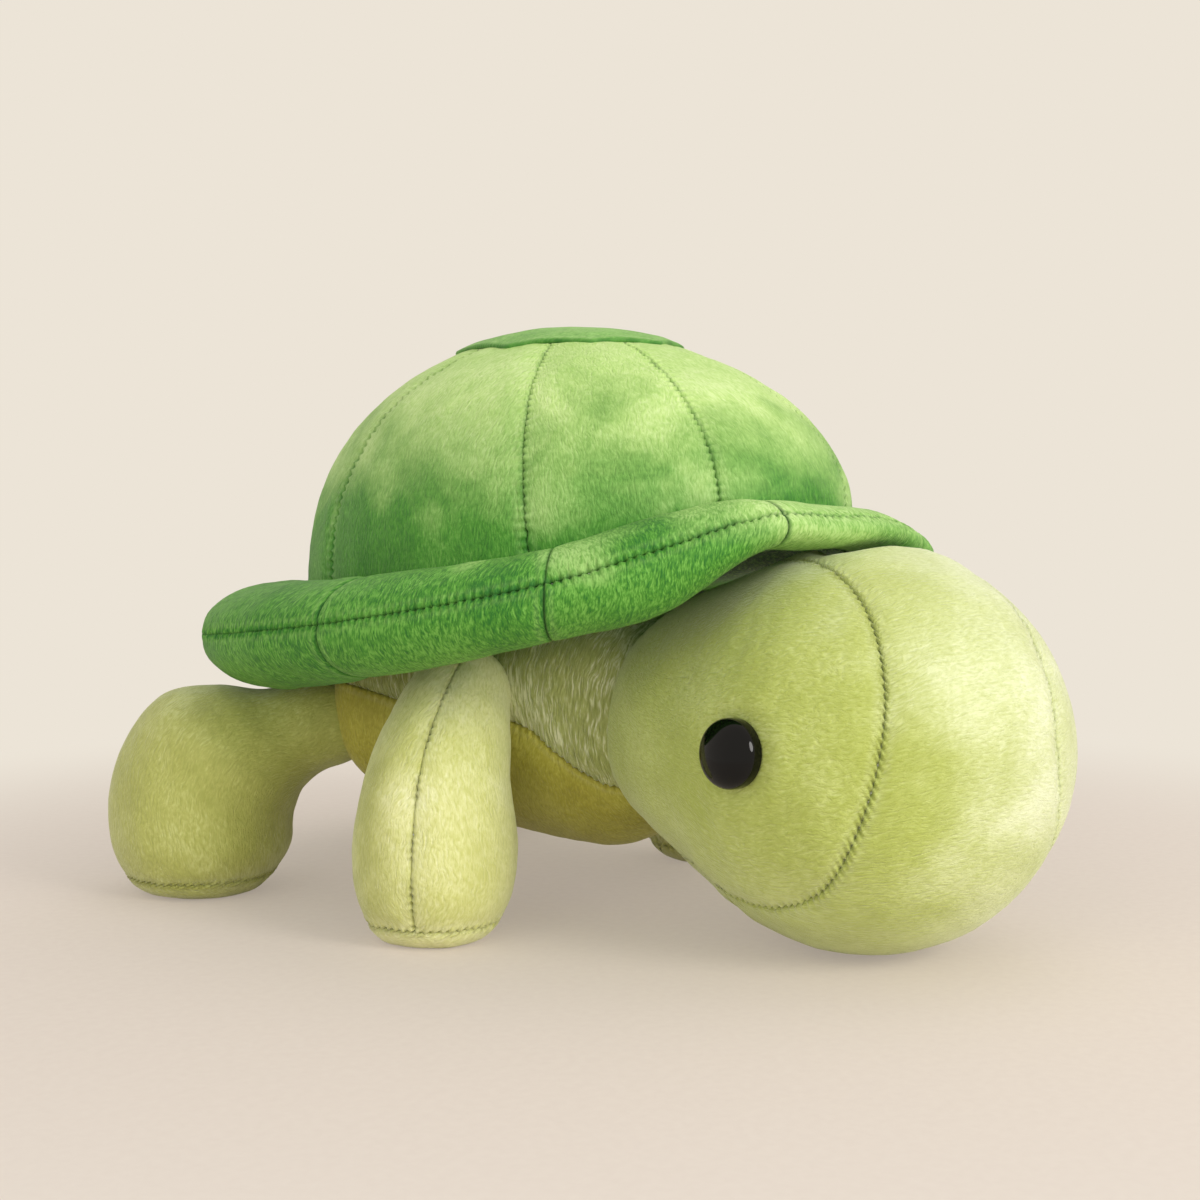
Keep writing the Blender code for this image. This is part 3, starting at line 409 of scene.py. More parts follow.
def rim_underside(side, ahead):
    """Height of the rim's underside over a place, and far above it where the rim isn't over it."""
    shell_side = side * cos(SHELL_TURN) + ahead * sin(SHELL_TURN)
    shell_ahead = ahead * cos(SHELL_TURN) - side * sin(SHELL_TURN)
    reach = dome_reach(np.arctan2(-shell_side, shell_ahead)) + FIT_GAP + RIM_IN
    half_width = DOME_HALF_WIDTH + FIT_GAP + RIM_IN
    angle = np.arctan2(-shell_side / half_width, shell_ahead / reach)
    level = np.hypot(shell_side / half_width, shell_ahead / reach)
    beyond = np.hypot(shell_side, shell_ahead) * (1 - 1 / level)
    outer = RIM_OUT * around_rim(RIM_OUT_SHARES, angle)
    share = np.abs(beyond) / np.where(beyond > 0, outer, RIM_IN) / SADDLE_MARGIN_SHARE
    depth = np.sqrt(np.clip(1 - share ** 2, 0, 1)) - np.clip(share - 1, 0, None)
    return rim_height(angle) - rim_half_thickness(angle) * depth


def saddle(side, ahead):
    """Height of the dent in the head: the lowest that the rim comes over it as the head turns."""
    reach = np.hypot(side, ahead - CHEST_AHEAD)
    bearing = np.arctan2(-side, ahead - CHEST_AHEAD)
    lowest = np.inf
    for turn in np.linspace(-HEAD_SWING_LEFT, HEAD_SWING_RIGHT, SADDLE_TURNS):
        under = rim_underside(-reach * np.sin(bearing + turn), CHEST_AHEAD + reach * np.cos(bearing + turn))
        lowest = np.minimum(lowest, under)
    return lowest - SADDLE_GAP


def head(across, around):
    """Head: its side outline, shrunk as it goes across, drawn out to the neck and dented by the rim.

    across runs from -1 at the right cheek's pole to 1 at the left one's, with the crown's seams at
    SIDE_SEAM_SHARE, and around goes once round from the face, over the crown, the neck and the chin.
    """
    bearing = (np.degrees(around) + 180) % 360 - 180
    right = through(SEAM_STATIONS, SEAM_RIGHT_SHARES, bearing)
    left = through(SEAM_STATIONS, SEAM_LEFT_SHARES, bearing)
    seam = np.where(across < 0, right, left)
    beyond = (np.abs(across) - SIDE_SEAM_SHARE) / (1 - SIDE_SEAM_SHARE)
    share = np.where(beyond < 0, np.abs(across) / SIDE_SEAM_SHARE * seam, seam + (1 - seam) * beyond)
    tilt = np.sign(across) * share * pi / 2
    outline = HEAD_RADIUS * through(HEAD_STATIONS, HEAD_OUTLINE_SHARES, np.degrees(around) % 360)
    ahead = outline * np.cos(around) * np.cos(tilt)
    up = outline * np.sin(around) * np.cos(tilt)
    side = HEAD_RADIUS * np.sin(tilt) - HEAD_BEND * np.clip(-ahead / HEAD_RADIUS, 0, None) ** 2
    turned_side = side * cos(HEAD_TURN) - ahead * sin(HEAD_TURN)
    turned_ahead = ahead * cos(HEAD_TURN) + side * sin(HEAD_TURN)
    side = turned_side - HEAD_ASIDE
    ahead = turned_ahead + HEAD_AHEAD
    height = HEAD_RADIUS - FLOOR_FLAT + up
    dent = saddle(side, ahead)
    blend = np.clip(SADDLE_BLEND - np.abs(height - dent), 0, None)
    return point(side, ahead, np.minimum(height, dent) - blend ** 2 / SADDLE_BLEND / 4)


def limb(sections, heading, lean, way=1):
    """Surface of a limb: round sections carried along a smooth middle line, upright ones near the floor.

    Each section is its middle, its radius and its share of the lean. along runs from -1 at the pole of
    the hip ball to 0 at its equator, then by one for each section, and over the last unit it closes
    flat. way is -1 for the mirror image.
    """
    sections = np.asarray(sections, float)
    numbers = np.arange(len(sections), dtype=float)
    last = numbers[-1]
    heading = np.array([*heading, 0.0])
    down = np.array([0.0, 0.0, -1.0])

    def surface(along, around):
        """Middle line plus a spoke as long as the radius, square to the line's direction."""
        centre = through(numbers, sections, np.clip(along, 0, last))
        tilt = (lean * centre[..., 4])[..., None]
        line = heading * np.sin(tilt) + down * np.cos(tilt)
        fore = np.array([0.0, 1.0, 0.0]) - line * line[..., 1:2]
        fore = fore / np.linalg.norm(fore, axis=-1, keepdims=True)
        outer = np.cross(line, fore)
        ball = np.clip(-along, 0, 1) * pi / 2
        closing = np.clip(along - last, 0, 1)
        radius = centre[..., 3] * np.cos(ball) * (1 - closing)
        middle = centre[..., :3] - line * (centre[..., 3] * np.sin(ball))[..., None]
        spoke = fore * np.cos(around)[..., None] + outer * np.sin(around)[..., None]
        place = middle + spoke * radius[..., None]
        return point(way * place[..., 0], place[..., 1], place[..., 2])

    return surface


def leg(hip, hip_radius, foot, radius, sole_radius, lean, bend_shares, way):
    """A leg's surface and its number of sections, from the hip to the flat under the sole.

    Each bend share is how far a section is on the way to the foot, and its share of the hip's height
    over the sole, of the leg's full radius and of the lean.
    """
    hip = np.array([*hip, hip_radius, 1.0])
    sole = np.array([*foot, SOLE_HEIGHT, sole_radius, 0.0])
    middle = []
    for share, height_share, radius_share, lean_share in bend_shares:
        place = hip + (sole - hip) * share
        place[2] = sole[2] + (hip[2] - sole[2]) * height_share
        place[3] = hip_radius + (radius - hip_radius) * radius_share
        place[4] = lean_share
        middle.append(place)
    low = sole * np.array([1, 1, SOLE_CURVE_SHARE, (1 + SOLE_FLAT_SHARE) / 2, 1])
    flat = sole * np.array([1, 1, 0, SOLE_FLAT_SHARE, 1])
    sections = np.array([hip, *middle, sole, low, flat])
    heading = (sole - hip)[:2] / np.hypot(*(sole - hip)[:2])
    return limb(sections, heading, lean, way), len(sections)


# ---------------------------------------------------------------- cloth

def lumps(places, height, size, seed):
    """Uneven filling: the mean of eight sine waves of about one size in directions drawn from a seed."""
    draw = np.random.default_rng(seed)
    ways = draw.normal(size=(8, 3))
    ways /= np.linalg.norm(ways, axis=1, keepdims=True)
    rates = 2 * pi / size * draw.uniform(0.7, 1.5, 8)
    total = 0
    for way, rate, phase in zip(ways, rates, draw.uniform(0, 2 * pi, 8)):
        total = total + np.sin(places @ way * rate + phase)
    return height * (total / 8)


def outward(places, way, wrapped):
    """Unit normal of a grid of places, from the differences between neighbours."""
    one = np.gradient(places, axis=0)
    if wrapped:
        two = np.roll(places[:, :-1], -1, 1) - np.roll(places[:, :-1], 1, 1)
        two = np.concatenate([two, two[:, :1]], 1)
    else:
        two = np.gradient(places, axis=1)
    normal = np.cross(one, two) * way
    size = np.linalg.norm(normal, axis=-1, keepdims=True)
    return normal / np.maximum(size, 1e-12)


def run(places, axis):
    """Distance along the rows or columns of a grid, from the first."""
    steps = np.linalg.norm(np.diff(places, axis=axis), axis=-1)
    start = np.zeros_like(np.take(steps, [0], axis))
    return np.concatenate([start, np.cumsum(steps, axis)], axis)


def stations(line, low, high, fine_low=True, fine_high=True, coarse=COARSE):
    """Parameters from low to high: steps fine at the ends named, and growing to coarse away from them."""
    values = np.linspace(low, high, LINE_SAMPLES)
    length = run(line(values), 0)
    step = np.full_like(length, coarse)
    if fine_low:
        step = np.minimum(step, FINE + GROWTH * length)
    if fine_high:
        step = np.minimum(step, FINE + GROWTH * (length[-1] - length))
    count = np.concatenate([[0], np.cumsum(np.diff(length) * 2 / (step[1:] + step[:-1]))])
    cells = max(4, int(np.ceil(count[-1])))
    return np.interp(np.linspace(0, count[-1], cells + 1), count, values)


def even(line, low, high, step):
    """Parameters from low to high at even distances of about a step."""
    values = np.linspace(low, high, EVEN_SAMPLES)
    length = run(line(values), 0)
    cells = max(4, int(np.ceil(length[-1] / step)))
    return np.interp(np.linspace(0, length[-1], cells + 1), length, values)


def circle(cells, start=0.0):
    """Angles once round in equal steps, with the first again at the end."""
    return np.linspace(start, start + 2 * pi, cells + 1)


def down_line(form, column):
    """The form's line down a column, as a function of the row."""
    return lambda row: form(row, np.full_like(row, column))


def over_line(form, row):
    """The form's line over a row, as a function of the column."""
    return lambda column: form(np.full_like(column, row), column)


def seam_depth(distance, along, stitched):
    """Depth at a distance from a seam: a turned-in edge on a wide dip, both pinched at each stitch.

    The edge is part of a quarter round and the dip falls off as exp(-(distance / width)^2). A second,
    slower beat keeps the stitches from being all alike.
    """
    near = SEAM_ROUND_SHARE * np.clip(1 - distance / SEAM_ROUND, 0, 1)
    edge = SEAM_ROUND * (1 - np.sqrt(1 - near ** 2))
    dip = SEAM_DIP * np.exp(-(distance / SEAM_DIP_WIDTH) ** 2)
    if not stitched:
        return edge + PLAIN_DIP_SHARE * dip
    phase = 2 * pi * along / STITCH
    beat = np.cos(phase) + SLOW_BEAT_SHARE * np.cos(phase / SLOW_BEAT)
    pinch = 1 + PINCH_SHARE * beat * np.exp(-(distance / PINCH_WIDTH) ** 2)
    return (edge + dip) * pinch


def seam_mark(distance, along, stitched):
    """Darkness of a seam: a narrow line, and at each stitch a wider dash whose strength drifts along it."""
    line = np.exp(-(distance / LINE_WIDTH) ** 2)
    if not stitched:
        return line
    beat = np.clip(np.cos(2 * pi * along / STITCH), 0, 1) ** DASH_POWER
    one, two = (np.sin(2 * pi * along / length) for length in DRIFT_LENGTHS)
    drift = 1 - DRIFT_SHARE + DRIFT_SHARE * one * two
    return np.maximum(LINE_SHARE * line, beat * drift * np.exp(-(distance / DASH_WIDTH) ** 2))


def make_mesh(name, places, faces, look, pattern=None, near=None, joined=False):
    """Object from a grid of places and arrays of faces.

    pattern is the cloth's flat pattern, kept as a UV map. near is the darkness of its seams, below zero
    where a highlight is painted beside one. Both are zero on what isn't sewn. joined merges its doubles.
    """
    places = places.reshape(-1, 3)
    pattern = np.zeros((len(places), 2)) if pattern is None else pattern.reshape(-1, 2)
    near = np.zeros(len(places)) if near is None else near.ravel()
    mesh = bpy.data.meshes.new(name)
    corners = np.concatenate([part.ravel() for part in faces])
    starts = np.arange(0, len(corners), 4)
    mesh.vertices.add(len(places))
    mesh.vertices.foreach_set("co", (places + MIDDLE).astype(np.float32).ravel())
    mesh.loops.add(len(corners))
    mesh.loops.foreach_set("vertex_index", corners.astype(np.int32))
    mesh.polygons.add(len(starts))
    mesh.polygons.foreach_set("loop_start", starts.astype(np.int32))
    layer = mesh.uv_layers.new(name="pattern")
    layer.uv.foreach_set("vector", pattern[corners].astype(np.float32).ravel())
    seam = mesh.attributes.new("seam", "FLOAT", "POINT")
    seam.data.foreach_set("value", near.astype(np.float32))
    mesh.materials.append(look)
    mesh.update(calc_edges=True)
    mesh.validate()
    mesh.shade_smooth()
    thing = bpy.data.objects.new(name, mesh)
    bpy.context.scene.collection.objects.link(thing)
    if joined:
        merge(thing)
    return thing


def merge(thing):
    """Joins the points that coincide at a pole or where a wrapped grid meets itself."""
    work = bmesh.new()
    work.from_mesh(thing.data)
    bmesh.ops.remove_doubles(work, verts=work.verts, dist=1e-7)
    bmesh.ops.dissolve_degenerate(work, dist=1e-8, edges=work.edges)
    work.to_mesh(thing.data)
    work.free()
    thing.data.shade_smooth()


def grid(rows, columns, offset=0, flip=False):
    """Four-sided faces of a grid of rows and columns."""
    first = (np.arange(rows - 1)[:, None] * columns + np.arange(columns - 1)[None]).reshape(-1)
    faces = np.stack([first, first + 1, first + columns + 1, first + columns], -1) + offset
    return faces[:, ::-1] if flip else faces


def skin_faces(ids, way, polar):
    """Faces of a panel's outer and inner skins and of the walls between their open edges."""
    flip = way < 0
    count = ids.size
    faces = [grid(*ids.shape, 0, flip), grid(*ids.shape, count, not flip)]
    borders = [(ids[0], not flip)]
    if not polar:
        borders += [(ids[-1], flip), (ids[:, 0], flip), (ids[:, -1], not flip)]
    for line, turned in borders:
        wall = np.stack([line[:-1], line[1:], line[1:] + count, line[:-1] + count], -1)
        faces.append(wall[:, ::-1] if turned else wall)
    return faces


def flat_pattern(down, over, polar, across):
    """Flat pattern of a panel from the distances down and over it: a disc round the pole of a polar one,
    and else the distances themselves, counted over from its middle column."""
    if polar:
        radius = down[-1] - down
        angle = over[0] / over[0, -1] * 2 * pi
        return np.stack([radius * np.cos(angle), radius * np.sin(angle)], -1)
    middle = over - over[:, over.shape[1] // 2][:, None]
    return np.stack([down, middle] if across else [middle, down], -1)


def panel(name, form, rows, columns, look, way, seams=(None,) * 4, polar=False, across=False, number=0,
          shape=None):
    """A cut panel of plush on a form: outer and inner skins closed along its edges.

    seams says for the first and last row and the first and last column whether it is stitched (True),
    plain (False) or no seam (None). A polar panel goes once round and has its last row drawn to a
    point. The nap lies along the columns, or across them. Each number has its own place on the
    pattern, and shape is a last step for both skins.
    """
    row, column = np.meshgrid(rows, columns, indexing="ij")
    places = form(row, column)
    if polar:
        places[-1] = places[-1].mean(0)
    normal = outward(places, way, polar)
    if polar:
        normal[-1] = normal[-2].mean(0) / np.linalg.norm(normal[-2].mean(0))
    down = run(places, 0)
    over = run(places, 1)
    edges = ((down, over), (down[-1] - down, over), (over, down), (over[:, -1:] - over, down))
    depth, near, seam_highlight = np.zeros((3, *row.shape))
    for stitched, (distance, along) in zip(seams, edges):
        if stitched is not None:
            depth = np.maximum(depth, seam_depth(distance, along, stitched))
            near = np.maximum(near, seam_mark(distance, along, stitched))
            # a painted highlight in a band a little way out from each seam
            seam_highlight = np.maximum(seam_highlight, np.exp(-((distance - SEAM_HIGHLIGHT_PLACE) / SEAM_HIGHLIGHT_WIDTH) ** 2))
    near = near - SEAM_HIGHLIGHT_SHARE * seam_highlight * (1 - near)
    lift = sum(lumps(places, *kind) for kind in CLOTH_LUMPS) - depth
    skins = []
    for thick, raised in ((0.0, lift), (CLOTH, np.minimum(lift - CLOTH, -CLOTH))):
        skin = places + normal * raised[..., None]
        if shape:
            skin = shape(skin, normal, thick)
        if polar:
            skin[-1] = skin[-1].mean(0)
        skins.append(skin)
    pattern = flat_pattern(down, over, polar, across) + np.array(PATTERN_STEP) * number
    faces = skin_faces(np.arange(row.size).reshape(row.shape), way, polar)
    return make_mesh(name, np.stack(skins), faces, look, np.stack([pattern] * 2), np.stack([near] * 2), polar)


def filling(name, form, rows, columns, way, standing=False):
    """Closed ball of fibre inside a form: a wrapped grid whose first and last rows are points."""
    row, column = np.meshgrid(rows, columns, indexing="ij")
    places = form(row, column)
    normal = outward(places, way, True)
    places = places - normal * FILL_DEPTH
    if standing:
        places = on_floor(places, normal, FILL_GAP)
    places[0] = places[0].mean(0)
    places[-1] = places[-1].mean(0)
    pattern = np.stack([run(places, 1), run(places, 0)], -1)
    return make_mesh(name, places, [grid(*row.shape, 0, way < 0)], LOOKS["fibre"], pattern, joined=True)


def on_floor(places, normal, thick):
    """Flat where a form stands on the floor, and for an inner skin as far above it as the cloth is thick."""
    flat = places.copy()
    flat[..., 2] = np.maximum(flat[..., 2], thick)
    return flat


def keep(thing, body, node):
    """Hides the CAD node that a piece stands for and hangs the piece on the body it rides on."""
    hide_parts(node)
    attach(thing, body)


# ---------------------------------------------------------------- materials

def linear(code):
    """Linear colour of an sRGB hex value."""
    values = np.array([int(code[i:i + 2], 16) for i in (1, 3, 5)]) / 255
    values = np.where(values <= 0.04045, values / 12.92, ((values + 0.055) / 1.055) ** 2.4)
    return (*values.tolist(), 1.0)


def add_node(tree, kind, inputs=(), stops=(), **settings):
    """Adds a shader node, sets what is named, and links or sets its inputs.

    inputs are given by name or number, or as a list in the node's own order, and a node among them
    stands for its first output. stops are the places and colours of a colour ramp.
    """
    node = tree.nodes.new(f"ShaderNode{kind}")
    for name, value in settings.items():
        setattr(node, name, value)
    for key, value in inputs.items() if isinstance(inputs, dict) else enumerate(inputs):
        if isinstance(value, bpy.types.Node):
            value = value.outputs[0]
        if isinstance(value, bpy.types.NodeSocket):
            tree.links.new(value, node.inputs[key])
        else:
            node.inputs[key].default_value = value
    if stops:
        elements = node.color_ramp.elements
        while len(elements) < len(stops):
            elements.new(0.5)
        for element, (place, code) in zip(elements, stops):
            element.position = place
            element.color = linear(code)
    return node


def empty_tree(owner):
    """Clears the nodes of a material or a world and gives the function that adds a node to it."""
    owner.use_nodes = True
    owner.node_tree.nodes.clear()
    return partial(add_node, owner.node_tree)


def new_material(name):
    """A material without nodes, and the function that adds a node to it."""
    made = bpy.data.materials.new(name)
    return made, empty_tree(made)


def plush(name, shade, body_colour, tip, seam_colour, patches=0.018, nap=0.0024, strength=0.8, sheen=0.3,
          top=None, bloom="#F4F7DC", gloss=0.6, contrast=1.1, seed=0.0):
    """Minky plush: knitted polyester with a 2 mm brushed pile, so the nap shows as short strokes that
    lie in uneven patches, the knit's rows show where it lies flat, and it has a soft bloom at its edges.

    patches and nap are the size of a patch and the length of a stroke, in metres. top is painted light:
    a direction, the levels along it where the paler, lit shades begin and are full, and those shades.
    """
    made, add = new_material(name)
    where = add("TexCoord").outputs["Object"]
    flat = add("UVMap", uv_map="pattern")
    # The nap's strokes are as long as the pile or longer. Real hairs are too fine to show, so they are
    # drawn 0.7 and 1.4 mm wide. A slow noise of 11 mm sweeps them about by up to 2 mm.
    sweep = add("TexNoise", {"Vector": flat, "Scale": 1 / 0.011, "Detail": 2.0}).outputs["Color"]
    sweep = add("VectorMath", (sweep, (0.5, 0.5, 0.5)), operation="SUBTRACT")
    sweep = add("VectorMath", {0: sweep, "Scale": 0.004}, operation="SCALE")
    swept = add("VectorMath", (flat, sweep), operation="ADD")
    strokes = []
    for width, length in ((0.0007, nap), (0.0014, nap * 1.7)):
        lain = add("Mapping", {"Vector": swept, "Scale": (1 / width, 1 / length, 1)})
        strokes.append(add("TexNoise", {"Vector": lain, "Scale": 1.0, "Detail": 2.5, "Roughness": 0.6}))
    wide = add("Math", (strokes[1], 0.4), operation="MULTIPLY")
    fine = add("Math", (strokes[0], 0.6, wide), operation="MULTIPLY_ADD")
    # patches where the nap was brushed one way or the other
    broad = add("TexNoise", {"Vector": where, "W": seed, "Scale": 1 / patches / 2, "Detail": 3.0,
                             "Roughness": 0.5, "Distortion": 0.6}, noise_dimensions="4D")
    small = add("TexNoise", {"Vector": where, "Scale": 1 / patches * 2.2, "Detail": 3.0})
    brushed = add("Math", (small, 0.3), operation="MULTIPLY")
    brushed = add("Math", (broad, 0.7, brushed), operation="MULTIPLY_ADD")
    # the knit's stitches where the pile lies flat, drawn 1.8 mm apart so that they show
    knit = add("TexVoronoi", {"Vector": flat, "Scale": 1 / 0.0018, "Randomness": 0.25})
    flattened = add("ValToRGB", (small,), ((0.5, "#000000"), (0.62, "#FFFFFF")))
    knit = add("Math", (knit, flattened), operation="MULTIPLY")
    sunk = add("Math", (knit, 0.15), operation="MULTIPLY")
    height = add("Math", (fine, sunk), operation="SUBTRACT")
    dark = add("Math", (knit, 0.11), operation="MULTIPLY")
    tone = add("Math", (fine, 0.5), operation="SUBTRACT")
    tone = add("Math", (tone, contrast, brushed), operation="MULTIPLY_ADD")
    tone = add("Math", (tone, dark), operation="SUBTRACT")
    colour = add("ValToRGB", (tone,), tuple(zip(TONES, (shade, body_colour, tip))))
    if top:
        # painted light: past a level along a direction, on the side where the light falls, the plush takes
        # paler, lit shades
        way, low, high, painted_light_shades = top
        level = add("VectorMath", (where, way), operation="DOT_PRODUCT").outputs["Value"]
        uneven = add("Math", (broad, 0.5), operation="SUBTRACT")
        level = add("Math", (uneven, 0.09, level), operation="MULTIPLY_ADD")
        level = add("MapRange", (level, low, high))
        pale = add("ValToRGB", (tone,), tuple(zip(TONES, painted_light_shades)))
        colour = add("Mix", {0: level, 6: colour, 7: pale}, data_type="RGBA").outputs[2]
    # beside a seam a highlight is painted in the bloom colour, for light caught by the standing nap, and in
    # the seam the cloth is ragged and dark
    seam = add("Attribute", attribute_name="seam").outputs["Fac"]
    seam_highlight = add("Math", (seam, -1.0), operation="MULTIPLY")
    seam_highlight = add("Math", (seam_highlight, 0.0), operation="MAXIMUM")
    seam_highlight = add("Math", (seam_highlight, strokes[0]), operation="MULTIPLY")
    colour = add("Mix", {0: seam_highlight, 6: colour, 7: linear(bloom)}, data_type="RGBA").outputs[2]
    ragged = add("Math", (small, 2.0, -0.2), operation="MULTIPLY_ADD")
    seam = add("Math", (seam, 0.0), operation="MAXIMUM")
    seam = add("Math", (seam, 0.8), operation="MULTIPLY")
    seam = add("Math", (seam, ragged), operation="MULTIPLY")
    colour = add("Mix", {0: seam, 6: colour, 7: linear(seam_colour)}, data_type="RGBA").outputs[2]
    bump = add("Bump", {"Height": height, "Strength": strength, "Distance": 0.0011})
    pile = add("BsdfPrincipled", {
        "Base Color": colour, "Normal": bump, "Roughness": 0.58, "IOR": 1.5, "Specular IOR Level": gloss,
        "Sheen Weight": sheen, "Sheen Roughness": 0.5, "Sheen Tint": linear(bloom)})
    add("OutputMaterial", (pile,))
    return made


def fibre_filling():
    """Polyester fibre filling: white, dull and tangled, with clumps of about 6 mm."""
    made, add = new_material("fibre_filling")
    where = add("TexCoord").outputs["Object"]
    tangle = add("TexNoise", {"Vector": where, "Scale": 1 / 0.006, "Detail": 6.0, "Distortion": 2.0})
    colour = add("ValToRGB", (tangle,), ((0.3, "#D9D8D2"), (0.7, "#F4F3EE")))
    bump = add("Bump", {"Height": tangle, "Distance": 0.002, "Strength": 0.7})
    fibre = add("BsdfPrincipled", {"Base Color": colour, "Normal": bump, "Roughness": 1.0})
    add("OutputMaterial", (fibre,))
    return made


def moulded_eye():
    """Polystyrene safety eye, moulded in gloss black: a clean skin with the faintest mould ripple."""
    made, add = new_material("black_polystyrene_gloss")
    where = add("TexCoord").outputs["Object"]
    ripple = add("TexNoise", {"Vector": where, "Scale": 1 / 0.004, "Detail": 1.0})
    rough = add("MapRange", {0: ripple, 3: 0.05, 4: 0.09})
    bump = add("Bump", {"Height": ripple, "Distance": 0.00004, "Strength": 0.25})
    plastic = add("BsdfPrincipled", {"Base Color": linear("#050505"), "Normal": bump, "Roughness": rough,
                                     "IOR": 1.5, "Specular IOR Level": 0.25})
    add("OutputMaterial", (plastic,))
    return made


def moulded_washer():
    """Polyethylene lock washer, moulded in natural white, waxy and slightly clouded."""
    made, add = new_material("natural_polyethylene")
    where = add("TexCoord").outputs["Object"]
    cloud = add("TexNoise", {"Vector": where, "Scale": 1 / 0.003})
    colour = add("ValToRGB", (cloud,), ((0.35, "#D8D8D4"), (0.65, "#EAEAE6")))
    plastic = add("BsdfPrincipled", {"Base Color": colour, "Roughness": 0.45, "IOR": 1.51})
    add("OutputMaterial", (plastic,))
    return made


# places of a plush's three shades on its ramp, and directions along which light is painted on it as paler,
# lit shades
TONES = (0.32, 0.5, 0.68)
UP = (0, 0, 1)
TO_NOSE = (0.56, -0.82, 0.1)
TO_BROW = (0.56, -0.82, 0.4)

LOOKS = {
    # painted light: the dome's upper side takes paler, lit shades, as the light falls from above
    "dome": plush("dome_minky_plush", "#387A26", "#509430", "#74B04C", "#24602A", sheen=0.2,
                  bloom="#DDEEB0", gloss=0.3, seed=7.1,
                  top=(UP, 0.14, 0.187, ("#A6CC6C", "#BCDA84", "#D0E69E"))),
    "patch": plush("patch_minky_plush", "#559638", "#6EAA48", "#8CC064", "#2C6E22", sheen=0.25,
                   bloom="#DDEEB0", gloss=0.3),
    # painted light: the rim's upper side takes paler, lit shades, as the light falls from above
    "rim": plush("rim_minky_plush", "#2F7228", "#4E9030", "#72B04A", "#1C5226", sheen=0.15,
                 bloom="#CFE6A0", gloss=0.2, contrast=1.7, patches=0.03, seed=2.4,
                 top=(UP, 0.134, 0.156, ("#8CBC5A", "#A6CE74", "#C0DE90"))),
    # painted light: the head takes paler, lit shades on its side towards the key lamp
    "skin": plush("head_minky_plush", "#A6B24A", "#B2BE5C", "#C5D07A", "#7E8A3A", sheen=0.6,
                  top=(TO_BROW, 0.106, 0.19, ("#CAD296", "#D8DFAE", "#E6EBC8"))),
    # painted light: the legs take paler, lit shades towards the key lamp, so the front legs read lit and the
    # rear legs shaded
    "leg": plush("leg_minky_plush", "#A6AA4E", "#B5B95E", "#CBCF80", "#868C3E", sheen=0.5,
                 top=(TO_NOSE, -0.1, -0.06, ("#CDD07A", "#DEE098", "#EEEFB8"))),
    "flank": plush("flank_minky_plush", "#8F9648", "#ABB166", "#E2E4BC", "#868A48", sheen=0.7,
                   nap=0.006, strength=1.3, contrast=1.5),
    "belly": plush("belly_minky_plush", "#A8A03E", "#BAB44C", "#CDC864", "#7F7A30", sheen=0.2, gloss=0.3),
    "fibre": fibre_filling(),
    "eye": moulded_eye(),
    "washer": moulded_washer(),
}


# ---------------------------------------------------------------- pieces

def make_shell():
    """The shell's gores, its patch, its underside and the filling between them."""
    width = 2 * pi / GORES
    for number in range(GORES):
        left = (number - 0.5) * width
        rows = even(down_line(dome, left), GORE_START_SHARE - GORE_TUCK_SHARE, 1, ALONG_SEAM)
        columns = stations(over_line(dome, DOME_WIDE_SHARE), left, left + width)
        gore = panel(f"gore_cover_{number + 1}", dome, rows, columns, LOOKS["dome"], -1,
                     (None, None, True, True), number=number)
        keep(gore, "torso", f"shell_gore_{number + 1}")

    def over_gores(places, normal, thick):
        """Lifts the patch onto the gores, along its normals."""
        return places + normal * (CLOTH + FIT_GAP)

    rows = stations(down_line(patch, 0.0), 1, 0, fine_high=False)
    top = panel("top_patch", patch, rows, circle(16 * PATCH_CORNERS), LOOKS["patch"], 1,
                (False, None, None, None), polar=True, shape=over_gores)
    keep(top, "torso", "shell_patch")
    base = panel("shell_underside", shell_base, np.linspace(1, 0, 30), circle(96, -width / 2), LOOKS["rim"],
                 -1, polar=True)
    keep(base, "torso", "shell_base")

    def whole(level, angle):
        """The dome above and the base under it, as one closed form."""
        upper = dome(np.clip(level, 0, 1), angle)
        under = shell_base(np.clip(2 - level, 0, 1), angle)
        return np.where((level <= 1)[..., None], upper, under)

    rows = np.r_[np.linspace(0, 0.96, 40), np.linspace(1.06, 2, 20)]
    fill = filling("shell_filling", whole, rows, circle(96), -1)
    keep(fill, "torso", "shell_stuffing")


def make_rim():
    """The rim's upper and lower covers and the roll of filling inside them."""
    width = 2 * pi / RIM_PANELS
    for number in range(RIM_PANELS):
        start = (number - 0.5) * width
        columns = even(over_line(rim_upper, 0.0), start, start + width, ALONG_SEAM)
        for side, form, way, first in (("upper", rim_upper, 1, 0), ("lower", rim_lower, -1, 20)):
            rows = stations(down_line(form, start + width / 2), 0, 1, fine_high=False)
            cover = panel(f"rim_{side}_cover_{number + 1}", form, rows, columns, LOOKS["rim"], way,
                          (True, None, False, False), number=first + number)
            keep(cover, "torso", f"rim_{side}_{number + 1}")
    share, angle = np.meshgrid(np.linspace(0, 1, 49), circle(144), indexing="ij")
    places = rim(share * 2 * pi, angle)
    places = places - outward(places, 1, True) * FILL_DEPTH
    fill = make_mesh("rim_filling", places, [grid(*share.shape)], LOOKS["fibre"],
                     np.stack([angle, share], -1) * 0.1, joined=True)
    keep(fill, "torso", "rim_stuffing")


